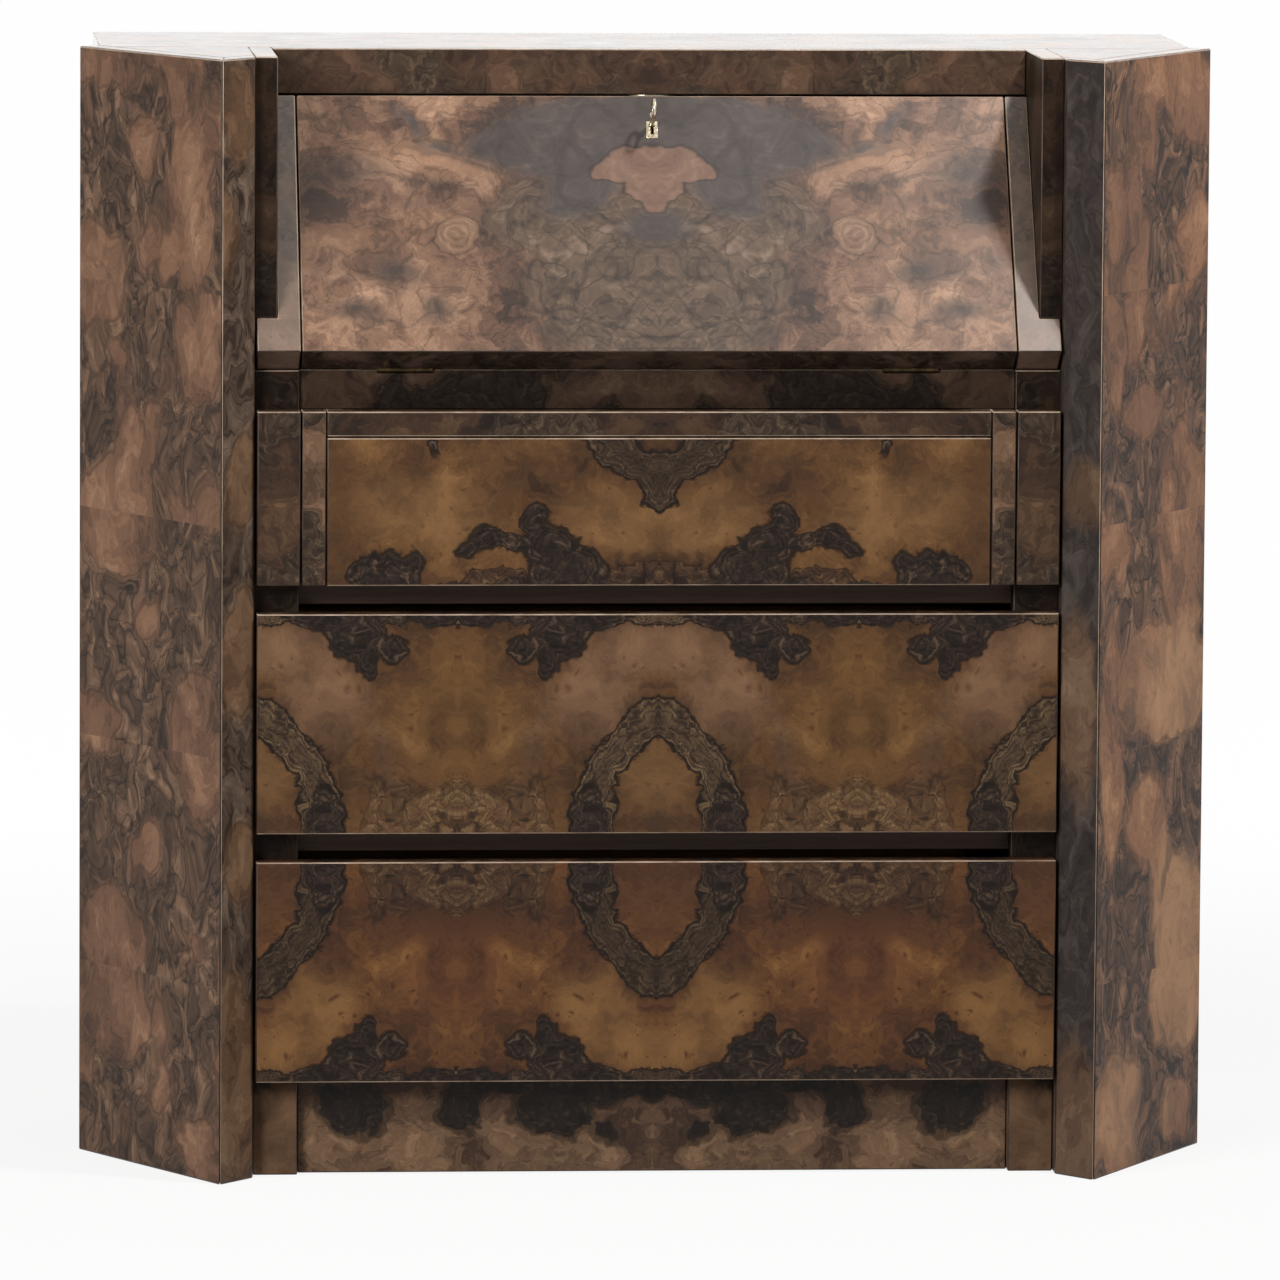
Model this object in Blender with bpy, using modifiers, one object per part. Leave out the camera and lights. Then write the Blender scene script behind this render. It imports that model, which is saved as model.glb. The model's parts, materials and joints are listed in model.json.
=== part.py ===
"""Slant-front desk with canted wings, three drawers, a lockable fall and two pull-out lopers.

Metres, +Z up, +Y to the back. The origin is on the floor at the middle of the footprint.
Depths called setbacks are measured backwards from the wings' front corners.
"""
import bpy
import bmesh
from math import cos, pi, radians, sin, tan
from mathutils import Matrix, Vector

# Overall sizes
DEPTH = 0.445
CARCASS_WIDTH = 1.005
COLUMN_WIDTH = 0.136
CHEEK_WIDTH = 0.0206

# Boards
SIDE_THICKNESS = 0.0204
TOP_THICKNESS = 0.0205
BACK_THICKNESS = 0.008
BOTTOM_THICKNESS = 0.020
DUST_BOARD_THICKNESS = 0.0215
EDGE = 0.0008

# Canted wings
WING_LENGTH = 0.2473
WING_ANGLE = radians(60.3)
WING_THICKNESS = 0.021
RETURN_SETBACK = 0.039
MITRE_OPENING = 0.00026

# Front, from the floor up
PLINTH_HEIGHT = 0.0881
PLINTH_RECESS = 0.012
PLINTH_THICKNESS = 0.018
LOW_DRAWER_HEIGHT = 0.2018
MIDDLE_DRAWER_HEIGHT = 0.2006
FINGER_GAP = 0.0257
FINGER_DEPTH = 0.024
ROW_HEIGHT = 0.1583
DRAWER_RAIL_HEIGHT = 0.0225
DRAWER_RAIL_GAP = 0.0015
DRAWER_SETBACK = 0.033
FRONT_THICKNESS = 0.024
FRONT_SIDE_GAP = 0.0018
INNER_SETBACK = 0.050

# Fall, its slanted cheeks and the rail above it
SLANT = radians(57.7)
FALL_SETBACK = 0.0316
FALL_LENGTH = 0.26363
FALL_THICKNESS = 0.0353
FALL_SIDE_GAP = 0.0015
FALL_LOPER_GAP = 0.0005
RAIL_HEIGHT = 0.0417
RAIL_SETBACK = 0.0107
RAIL_THICKNESS = 0.0204
STOP_WIDTH = 0.026
STOP_THICKNESS = 0.018
STOP_DROP = 0.064

# Fall hinges
HINGE_INSET = 0.094
HINGE_LENGTH = 0.050
HINGE_LEAF_WIDTH = 0.025
HINGE_LEAF_THICKNESS = 0.002
HINGE_KNUCKLE_RADIUS = 0.003
HINGE_KNUCKLE_SHARE = 0.4
HINGE_PIN_RADIUS = 0.0015
HINGE_PIN_PLAY = 0.0001
HINGE_FRONT_GAP = 0.0004

# Lock
LOCK_BACKSET = 0.0305
LOCK_WIDTH = 0.056
LOCK_HEIGHT = 0.058
LOCK_DEPTH = 0.024
BOLT_WIDTH = 0.013
BOLT_THICKNESS = 0.006
BOLT_LENGTH = 0.021
BOLT_INSET = 0.018
BOLT_THROW = 0.017
BOLT_PLAY = 0.0004
STRIKE_WIDTH = 0.040
STRIKE_DEPTH = 0.014
STRIKE_THICKNESS = 0.0012
STRIKE_MARGIN = 0.0012
ESCUTCHEON_WIDTH = 0.0105
ESCUTCHEON_HEIGHT = 0.0175
ESCUTCHEON_THICKNESS = 0.0015
KEY_SHANK_RADIUS = 0.0023
KEY_HOLE_RADIUS = 0.0030
KEY_SLOT_WIDTH = 0.0032
KEY_REACH = 0.022
KEY_BOW_RADIUS = 0.0085
KEY_BOW_WIRE = 0.0018
KEY_BIT_HEIGHT = 0.0062
KEY_BIT_LENGTH = 0.007
KEY_BIT_THICKNESS = 0.002
KEY_CHAMBER_PLAY = 0.0012
KEY_TIP = 0.002

# Lopers, the pull-out arms under the open fall
LOPER_THICKNESS = 0.0217
LOPER_BACK_ROOM = 0.064
LOPER_TRAVEL = 0.200
LOPER_OUTER_GAP = 0.0014
LOPER_INNER_GAP = 0.0009
LOPER_PEG_RADIUS = 0.005
LOPER_PEG_LENGTH = 0.016
LOPER_GUIDE_HEIGHT = 0.055
PARTITION_THICKNESS = 0.0155

# Drawer boxes
DRAWER_BACK_ROOM = 0.032
DRAWER_SIDE_THICKNESS = 0.013
DRAWER_BACK_THICKNESS = 0.012
DRAWER_BOTTOM_THICKNESS = 0.006
DRAWER_BOTTOM_LIFT = 0.012
DRAWER_SIDE_DROP = 0.032
DRAWER_HOUSING = 0.008
DRAWER_BOTTOM_HOUSING = 0.005
DRAWER_PLAY = 0.001
DRAWER_GUIDE_HEIGHT = 0.028
GUIDE_PLAY = 0.0005

# Fitted interior
SHELF_DEPTH = 0.155
SHELF_LIFT = 0.125
SHELF_THICKNESS = 0.012
DIVIDER_THICKNESS = 0.010
BAYS = 3

# Shared clearances and roundness
GAP = 0.0003
CUT_OVERRUN = 0.002
ROUND_SIDES = 20
FLAT_ANGLE = radians(1)

# Places worked out from the sizes above
FRONT = -DEPTH / 2
CARCASS_HALF = CARCASS_WIDTH / 2
INNER_HALF = CARCASS_HALF - COLUMN_WIDTH - SIDE_THICKNESS
SIDE_OUTER = INNER_HALF + SIDE_THICKNESS
OPENING_HALF = INNER_HALF - CHEEK_WIDTH
FRONT_HALF = SIDE_OUTER - FRONT_SIDE_GAP
BACK_INNER = FRONT + DEPTH - BACK_THICKNESS - GAP

LOW_DRAWER = PLINTH_HEIGHT + GAP
LOW_DRAWER_TOP = LOW_DRAWER + LOW_DRAWER_HEIGHT
MIDDLE_DRAWER = LOW_DRAWER_TOP + FINGER_GAP
MIDDLE_DRAWER_TOP = MIDDLE_DRAWER + MIDDLE_DRAWER_HEIGHT
ROW = MIDDLE_DRAWER_TOP + FINGER_GAP
ROW_TOP = ROW + ROW_HEIGHT
DRAWER_RAIL = ROW_TOP - DRAWER_RAIL_HEIGHT

DRAWER_FACE = FRONT + DRAWER_SETBACK
DRAWER_FACE_BACK = DRAWER_FACE + FRONT_THICKNESS
POST_FACE = DRAWER_FACE_BACK + GAP
INNER_FACE = FRONT + INNER_SETBACK
SIDE_FOOT_FACE = INNER_FACE + FALL_THICKNESS * sin(SLANT) + GAP
POST_BACK = SIDE_FOOT_FACE - GAP
DUST_BOARD_FACE = POST_FACE + FINGER_DEPTH

# The fall's foot stands so high that the open fall just clears the lopers
FALL_FOOT = ROW_TOP + FALL_LOPER_GAP + FALL_THICKNESS * (1 + cos(SLANT))
HINGE_Y = FRONT + FALL_SETBACK + FALL_THICKNESS * sin(SLANT)
HINGE_Z = FALL_FOOT - FALL_THICKNESS * cos(SLANT)
RAIL_FOOT = FALL_FOOT + FALL_LENGTH * sin(SLANT) + GAP
HEIGHT = RAIL_FOOT + RAIL_HEIGHT
UNDER_TOP = HEIGHT - TOP_THICKNESS - GAP
RAIL_FACE = FRONT + FALL_SETBACK + FALL_LENGTH * cos(SLANT) + RAIL_SETBACK
RAIL_BACK = RAIL_FACE + RAIL_THICKNESS
CHEEK_NOTCH = (INNER_SETBACK - FALL_SETBACK) / cos(SLANT)
WRITING_LEVEL = HINGE_Z - GAP
WRITING_FACE = HINGE_Y + HINGE_FRONT_GAP
GUIDE_FACE = OPENING_HALF + GUIDE_PLAY
LOPER_OUTER = OPENING_HALF - LOPER_OUTER_GAP
LOPER_INNER = LOPER_OUTER - LOPER_THICKNESS
PARTITION_OUTER = LOPER_INNER - LOPER_INNER_GAP
PARTITION_INNER = PARTITION_OUTER - PARTITION_THICKNESS
LOCK_CENTRE = FALL_LENGTH - LOCK_BACKSET
LOPER_LENGTH = DEPTH - DRAWER_SETBACK - BACK_THICKNESS - LOPER_BACK_ROOM
LOPER_BACK = DRAWER_FACE + LOPER_LENGTH
DRAWER_LENGTH = DEPTH - DRAWER_SETBACK - BACK_THICKNESS - DRAWER_BACK_ROOM

SIDES = (("L", -1), ("R", 1))


def fresh_collection(name):
    old = bpy.data.collections.get(name)
    if old:
        bpy.data.collections.remove(old)
    collection = bpy.data.collections.new(name)
    bpy.context.scene.collection.children.link(collection)
    return collection


for thing in list(bpy.data.objects):
    bpy.data.objects.remove(thing)
PARTS = fresh_collection("slant_front_desk")
CUTTERS = fresh_collection("slant_front_desk_cutters")

FINISHES = {
    "burr_veneer": ((0.21, 0.12, 0.066), 0.32, 0.0),
    "walnut_edge": ((0.070, 0.042, 0.028), 0.42, 0.0),
    "drawer_lining": ((0.50, 0.36, 0.21), 0.60, 0.0),
    "back_ply": ((0.26, 0.17, 0.10), 0.68, 0.0),
    "brass": ((0.62, 0.46, 0.20), 0.30, 1.0),
    "steel": ((0.52, 0.52, 0.53), 0.30, 1.0),
}


# Helpers

def paint(obj, finish):
    colour, roughness, metallic = FINISHES[finish]
    material = bpy.data.materials.new(obj.name + "_" + finish)
    material.use_nodes = True
    shader = material.node_tree.nodes["Principled BSDF"]
    shader.inputs["Base Color"].default_value = (*colour, 1)
    shader.inputs["Roughness"].default_value = roughness
    shader.inputs["Metallic"].default_value = metallic
    obj.data.materials.clear()
    obj.data.materials.append(material)


def axis_empty(name, location, parent=None, tilt=0.0):
    empty = bpy.data.objects.new(name, None)
    PARTS.objects.link(empty)
    empty.location = location
    empty.rotation_euler = (tilt, 0, 0)
    empty.parent = parent
    return empty


def finish_object(name, shape, finish, parent):
    """Makes a part when a finish is named, and a cutter when it is None."""
    mesh = bpy.data.meshes.new(name)
    shape.to_mesh(mesh)
    shape.free()
    obj = bpy.data.objects.new(name, mesh)
    obj.parent = parent
    if finish is None:
        CUTTERS.objects.link(obj)
        obj.hide_render = True
        obj.display_type = "WIRE"
    else:
        PARTS.objects.link(obj)
        paint(obj, finish)
    return obj


def ease_edges(obj):
    bevel = obj.modifiers.new("eased_edges", "BEVEL")
    bevel.width = EDGE
    bevel.segments = 1
    bevel.limit_method = "ANGLE"


def block(name, x, y, z, finish, parent=None, eased=False):
    """A board between pairs of faces, given in its parent's frame."""
    spans = [sorted(pair) for pair in (x, y, z)]
    size = [high - low for low, high in spans]
    shape = bmesh.new()
    bmesh.ops.create_cube(shape, size=1)
    bmesh.ops.scale(shape, vec=size, verts=shape.verts)
    obj = finish_object(name, shape, finish, parent)
    obj.location = [(low + high) / 2 for low, high in spans]
    if eased:
        ease_edges(obj)
    return obj


def rod(name, radius, start, end, axis, centre, finish, parent=None):
    """A round bar along one axis of its parent's frame."""
    shape = bmesh.new()
    bmesh.ops.create_cone(shape, cap_ends=True, segments=ROUND_SIDES, radius1=radius,
                          radius2=radius, depth=end - start)
    turns = {"X": Matrix.Rotation(pi / 2, 3, "Y"), "Y": Matrix.Rotation(-pi / 2, 3, "X"),
             "Z": Matrix.Identity(3)}
    bmesh.ops.rotate(shape, matrix=turns[axis], verts=shape.verts)
    obj = finish_object(name, shape, finish, parent)
    place = {"X": (1, 0, 0), "Y": (0, 1, 0), "Z": (0, 0, 1)}[axis]
    obj.location = Vector(centre) + Vector(place) * (start + end) / 2
    if finish is not None:
        obj.data.shade_smooth()
        obj.data.set_sharp_from_angle(angle=radians(40))
    return obj


def outline_solid(name, points, span, plane, finish, parent=None, eased=False):
    """A flat outline given thickness: plane XY rises along Z, YZ along X, and XZ along Y."""
    low, high = sorted(span)
    curve = bpy.data.curves.new(name, "CURVE")
    curve.dimensions = "2D"
    curve.fill_mode = "BOTH"
    curve.extrude = (high - low) / 2
    spline = curve.splines.new("POLY")
    spline.points.add(len(points) - 1)
    for knot, (across, up) in zip(spline.points, points):
        knot.co = (across, up, 0, 1)
    spline.use_cyclic_u = True
    drawn = bpy.data.objects.new(name + "_outline", curve)
    PARTS.objects.link(drawn)
    graph = bpy.context.evaluated_depsgraph_get()
    flat = bpy.data.meshes.new_from_object(drawn.evaluated_get(graph))
    bpy.data.objects.remove(drawn)
    shape = bmesh.new()
    shape.from_mesh(flat)
    bpy.data.meshes.remove(flat)
    bmesh.ops.remove_doubles(shape, verts=shape.verts, dist=GAP / 10)
    bmesh.ops.dissolve_limit(shape, angle_limit=FLAT_ANGLE, verts=shape.verts, edges=shape.edges)
    bmesh.ops.recalc_face_normals(shape, faces=shape.faces)
    obj = finish_object(name, shape, finish, parent)
    middle = (low + high) / 2
    obj.location = {"XY": (0, 0, middle), "YZ": (middle, 0, 0), "XZ": (0, middle, 0)}[plane]
    obj.rotation_euler = {"XY": (0, 0, 0), "YZ": (pi / 2, 0, pi / 2), "XZ": (pi / 2, 0, 0)}[plane]
    if eased:
        ease_edges(obj)
    return obj


def combine(obj, other, operation="DIFFERENCE"):
    boolean = obj.modifiers.new(other.name, "BOOLEAN")
    boolean.operation = operation
    boolean.object = other


def pair(half_gap, half_outer, sign):
    return (sign * half_gap, sign * half_outer)


def crossing(point_a, along_a, point_b, along_b):
    """Where two lines in the plan cross."""
    delta = point_b - point_a
    turn = along_a.x * along_b.y - along_a.y * along_b.x
    reach = (delta.x * along_b.y - delta.y * along_b.x) / turn
    return point_a + along_a * reach


def mirrored(points, sign):
    """Plan points of the right side, or their mirror image in the same turning sense."""
    turned = [(sign * x, y) for x, y in points]
    return turned if sign > 0 else turned[::-1]


# Plan of the right-hand column: the wing, its return and the pocket they enclose

WING_ALONG = Vector((cos(WING_ANGLE), sin(WING_ANGLE)))
WING_INWARD = Vector((-sin(WING_ANGLE), cos(WING_ANGLE)))
CORNER = Vector((CARCASS_HALF - WING_LENGTH * WING_ALONG.x - WING_THICKNESS * WING_INWARD.x, FRONT))
RETURN_END = Vector((SIDE_OUTER + GAP, FRONT + RETURN_SETBACK))
RETURN_ALONG = (RETURN_END - CORNER).normalized()
RETURN_INWARD = Vector((-RETURN_ALONG.y, RETURN_ALONG.x)) * -1
STRAIGHT_BACK = Vector((0, 1))
STRAIGHT_ACROSS = Vector((1, 0))


def wing_inside(offset):
    return CORNER + WING_INWARD * offset


def return_inside(offset):
    return CORNER + RETURN_INWARD * offset


MITRE = crossing(wing_inside(WING_THICKNESS), WING_ALONG, return_inside(WING_THICKNESS), RETURN_ALONG)
RETURN_HEEL = crossing(return_inside(WING_THICKNESS), RETURN_ALONG, RETURN_END, STRAIGHT_BACK)
POCKET = WING_THICKNESS + GAP
POCKET_CORNER = crossing(wing_inside(POCKET), WING_ALONG, return_inside(POCKET), RETURN_ALONG)
POCKET_HEEL = crossing(return_inside(POCKET), RETURN_ALONG, RETURN_END, STRAIGHT_BACK)


def wing_line_at_x(x):
    return crossing(wing_inside(POCKET), WING_ALONG, Vector((x, FRONT)), STRAIGHT_BACK)


def wing_line_at_y(y):
    return crossing(wing_inside(POCKET), WING_ALONG, Vector((0, y)), STRAIGHT_ACROSS)


def build_columns():
    wing_end = CORNER + WING_ALONG * WING_LENGTH
    wing = [CORNER + WING_ALONG * MITRE_OPENING, wing_end, wing_end + WING_INWARD * WING_THICKNESS,
            MITRE + WING_ALONG * MITRE_OPENING]
    wing_return = [CORNER + RETURN_ALONG * MITRE_OPENING, MITRE + RETURN_ALONG * MITRE_OPENING,
                   RETURN_HEEL, RETURN_END]
    cap_back = RAIL_BACK
    cap = [POCKET_HEEL, POCKET_CORNER, wing_line_at_y(cap_back), Vector((SIDE_OUTER + GAP, cap_back))]
    side_inner = CARCASS_HALF - SIDE_THICKNESS
    outer_side = [wing_line_at_x(side_inner), wing_line_at_x(CARCASS_HALF),
                  Vector((CARCASS_HALF, BACK_INNER)), Vector((side_inner, BACK_INNER))]
    for label, sign in SIDES:
        outline_solid("wing_panel_" + label, mirrored(wing, sign), (0, HEIGHT), "XY", "burr_veneer")
        outline_solid("wing_return_" + label, mirrored(wing_return, sign), (0, HEIGHT), "XY", "burr_veneer")
        outline_solid("outer_side_" + label, mirrored(outer_side, sign), (0, UNDER_TOP), "XY",
                      "burr_veneer", eased=True)
        outline_solid("column_cap_" + label, mirrored(cap, sign), (HEIGHT - TOP_THICKNESS, HEIGHT), "XY",
                      "burr_veneer", eased=True)


def build_top_and_back():
    front = RAIL_BACK + GAP
    corner = wing_line_at_y(front)
    flank = wing_line_at_x(CARCASS_HALF)
    back = FRONT + DEPTH
    right = [corner, flank, Vector((CARCASS_HALF, back))]
    left = [Vector((-point.x, point.y)) for point in reversed(right)]
    outline_solid("top_panel", right + left, (HEIGHT - TOP_THICKNESS, HEIGHT), "XY",
                  "burr_veneer", eased=True)
    block("back_panel", (-CARCASS_HALF, CARCASS_HALF), (back - BACK_THICKNESS, back),
          (0, UNDER_TOP), "back_ply")
    rail = block("top_rail", (GAP - INNER_HALF, INNER_HALF - GAP), (RAIL_FACE, RAIL_BACK),
                 (RAIL_FOOT, HEIGHT), "burr_veneer", eased=True)
    return rail


def build_inner_sides():
    notch_z = FALL_FOOT + CHEEK_NOTCH * sin(SLANT)
    foot_z = notch_z - (SIDE_FOOT_FACE - INNER_FACE) / tan(SLANT)
    outline = [(INNER_FACE, notch_z), (SIDE_FOOT_FACE, foot_z), (SIDE_FOOT_FACE, 0), (BACK_INNER, 0),
               (BACK_INNER, UNDER_TOP), (RAIL_BACK, UNDER_TOP), (RAIL_BACK, HEIGHT),
               (INNER_FACE, HEIGHT)]
    for label, sign in SIDES:
        outline_solid("inner_side_" + label, outline, pair(INNER_HALF, SIDE_OUTER, sign), "YZ",
                      "walnut_edge", eased=True)


def build_front_frame():
    inner = INNER_HALF - GAP
    for label, sign in SIDES:
        block("front_post_" + label, pair(OPENING_HALF, SIDE_OUTER, sign), (POST_FACE, POST_BACK),
              (0, HINGE_Z - GAP), "burr_veneer", eased=True)
        block("row_block_" + label, pair(OPENING_HALF, FRONT_HALF, sign),
              (DRAWER_FACE, DRAWER_FACE_BACK), (ROW, ROW_TOP), "burr_veneer", eased=True)
    plinth_face = POST_FACE + PLINTH_RECESS
    plinth_back = plinth_face + PLINTH_THICKNESS
    between_posts = (GAP - OPENING_HALF, OPENING_HALF - GAP)
    block("plinth_board", between_posts, (plinth_face, plinth_back), (0, PLINTH_HEIGHT),
          "burr_veneer", eased=True)
    runs = (("bottom_board", plinth_back + GAP, LOW_DRAWER, BOTTOM_THICKNESS, DRAWER_GUIDE_HEIGHT),
            ("dust_board_lower", DUST_BOARD_FACE, MIDDLE_DRAWER, DUST_BOARD_THICKNESS,
             DRAWER_GUIDE_HEIGHT),
            ("dust_board_upper", DUST_BOARD_FACE, ROW, DUST_BOARD_THICKNESS, LOPER_GUIDE_HEIGHT))
    for name, face, run_level, thickness, guide_height in runs:
        top = run_level - GAP
        board = block(name, (-inner, inner), (face, BACK_INNER), (top - thickness, top), "walnut_edge",
                      eased=True)
        for label, sign in SIDES:
            guide = block(name + "_guide_" + label, pair(GUIDE_FACE, inner, sign), (face, BACK_INNER),
                          (top - thickness, top + guide_height), None)
            combine(board, guide, "UNION")
    block("drawer_rail", (-PARTITION_OUTER, PARTITION_OUTER), (DRAWER_FACE, DRAWER_FACE_BACK),
          (DRAWER_RAIL, ROW_TOP), "burr_veneer", eased=True)


def build_writing_board():
    inner = INNER_HALF - GAP
    level = (ROW_TOP + GAP, WRITING_LEVEL)
    board = block("writing_board", (-inner, inner), (WRITING_FACE, BACK_INNER), level, "burr_veneer")
    for label, sign in SIDES:
        post_room = block("post_room_" + label, pair(OPENING_HALF - GAP, SIDE_OUTER, sign),
                          (POST_FACE, POST_BACK + GAP), (level[0] - CUT_OVERRUN, level[1] + CUT_OVERRUN),
                          None)
        combine(board, post_room)
    return board


def build_interior():
    inner = INNER_HALF - GAP
    shelf_front = BACK_INNER - SHELF_DEPTH
    shelf_foot = WRITING_LEVEL + SHELF_LIFT
    block("interior_shelf", (-inner, inner), (shelf_front, BACK_INNER),
          (shelf_foot, shelf_foot + SHELF_THICKNESS), "walnut_edge", eased=True)
    for label, sign in SIDES:
        middle = sign * INNER_HALF / BAYS
        block("interior_divider_" + label,
              (middle - DIVIDER_THICKNESS / 2, middle + DIVIDER_THICKNESS / 2),
              (shelf_front, BACK_INNER), (WRITING_LEVEL + GAP, shelf_foot - GAP), "walnut_edge",
              eased=True)


def build_lopers():
    for label, sign in SIDES:
        slide = axis_empty("loper_slide_" + label, (sign * LOPER_OUTER, DRAWER_FACE, ROW))
        loper = block("loper_" + label, pair(0, -LOPER_THICKNESS, sign), (0, LOPER_LENGTH),
                      (0, ROW_HEIGHT), "burr_veneer", slide, eased=True)
        peg_y = POST_BACK + GAP + LOPER_PEG_RADIUS + LOPER_TRAVEL - DRAWER_FACE
        peg_span = sorted((sign * LOPER_PEG_LENGTH, -sign * LOPER_THICKNESS / 2))
        peg = rod("loper_peg_" + label, LOPER_PEG_RADIUS, *peg_span, "X",
                  (0, peg_y, ROW_HEIGHT / 2), None, slide)
        combine(loper, peg, "UNION")
        block("loper_partition_" + label, pair(PARTITION_INNER, PARTITION_OUTER, sign),
              (POST_FACE, LOPER_BACK), (ROW, ROW_TOP), "walnut_edge")


def build_drawer(name, foot, top, front_half, box_half):
    """One drawer, whose sides run on the board below it."""
    slide = axis_empty(name + "_slide", (0, DRAWER_FACE, foot))
    height = top - foot
    front = block(name + "_front", (-front_half, front_half), (0, FRONT_THICKNESS), (0, height),
                  "burr_veneer", slide, eased=True)
    side_start = FRONT_THICKNESS - DRAWER_HOUSING + GAP
    side_top = height - DRAWER_SIDE_DROP
    inside = box_half - DRAWER_SIDE_THICKNESS
    bottom_top = DRAWER_BOTTOM_LIFT + DRAWER_BOTTOM_THICKNESS
    bottom_half = inside + DRAWER_BOTTOM_HOUSING - GAP
    bottom_start = FRONT_THICKNESS - DRAWER_BOTTOM_HOUSING + GAP
    block(name + "_bottom", (-bottom_half, bottom_half), (bottom_start, DRAWER_LENGTH),
          (DRAWER_BOTTOM_LIFT, bottom_top), "drawer_lining", slide)
    block(name + "_back", (GAP - inside, inside - GAP),
          (DRAWER_LENGTH - DRAWER_BACK_THICKNESS, DRAWER_LENGTH), (bottom_top + GAP, side_top),
          "drawer_lining", slide)
    bottom_room = block(name + "_bottom_room", (-bottom_half - GAP, bottom_half + GAP),
                        (bottom_start - GAP, DRAWER_LENGTH + CUT_OVERRUN),
                        (DRAWER_BOTTOM_LIFT - GAP, bottom_top + GAP), None, slide)
    combine(front, bottom_room)
    for label, sign in SIDES:
        side = block(name + "_side_" + label, pair(inside, box_half, sign), (side_start, DRAWER_LENGTH),
                     (0, side_top), "drawer_lining", slide)
        combine(side, bottom_room)
        housing = block(name + "_housing_" + label, pair(inside - GAP, box_half + GAP, sign),
                        (side_start - GAP, FRONT_THICKNESS + CUT_OVERRUN), (-CUT_OVERRUN, side_top + GAP),
                        None, slide)
        combine(front, housing)


def build_drawers():
    wide = OPENING_HALF - DRAWER_PLAY
    narrow = PARTITION_INNER - DRAWER_PLAY
    build_drawer("drawer_bottom", LOW_DRAWER, LOW_DRAWER_TOP, FRONT_HALF, wide)
    build_drawer("drawer_middle", MIDDLE_DRAWER, MIDDLE_DRAWER_TOP, FRONT_HALF, wide)
    build_drawer("drawer_top", ROW, DRAWER_RAIL - DRAWER_RAIL_GAP, PARTITION_OUTER, narrow)


# Everything on the slant is drawn in a tilted frame at the hinge axis:
# X across, Y into the desk from the fall's inner face, Z up the slope

def build_slant():
    tilt = SLANT - pi / 2
    hinge_axis = (0, HINGE_Y, HINGE_Z)
    fixed = axis_empty("slant_frame", hinge_axis, tilt=tilt)
    swing = axis_empty("fall_hinge", hinge_axis, tilt=tilt)
    cheek_outer = INNER_HALF - GAP
    for label, sign in SIDES:
        right = [(OPENING_HALF, 0), (FRONT_HALF, 0), (FRONT_HALF, CHEEK_NOTCH - GAP),
                 (cheek_outer, CHEEK_NOTCH - GAP), (cheek_outer, FALL_LENGTH),
                 (OPENING_HALF, FALL_LENGTH)]
        outline_solid("slant_cheek_" + label, mirrored(right, sign), (-FALL_THICKNESS, 0), "XZ",
                      "burr_veneer", fixed, eased=True)
    stop_top = FALL_LENGTH - STOP_DROP
    block("fall_stop", (GAP - INNER_HALF, INNER_HALF - GAP), (GAP, GAP + STOP_THICKNESS),
          (stop_top - STOP_WIDTH, stop_top), "walnut_edge", fixed)
    half = OPENING_HALF - FALL_SIDE_GAP
    fall = block("fall_panel", (-half, half), (-FALL_THICKNESS, 0), (0, FALL_LENGTH),
                 "burr_veneer", swing, eased=True)
    return fixed, swing, fall


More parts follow.
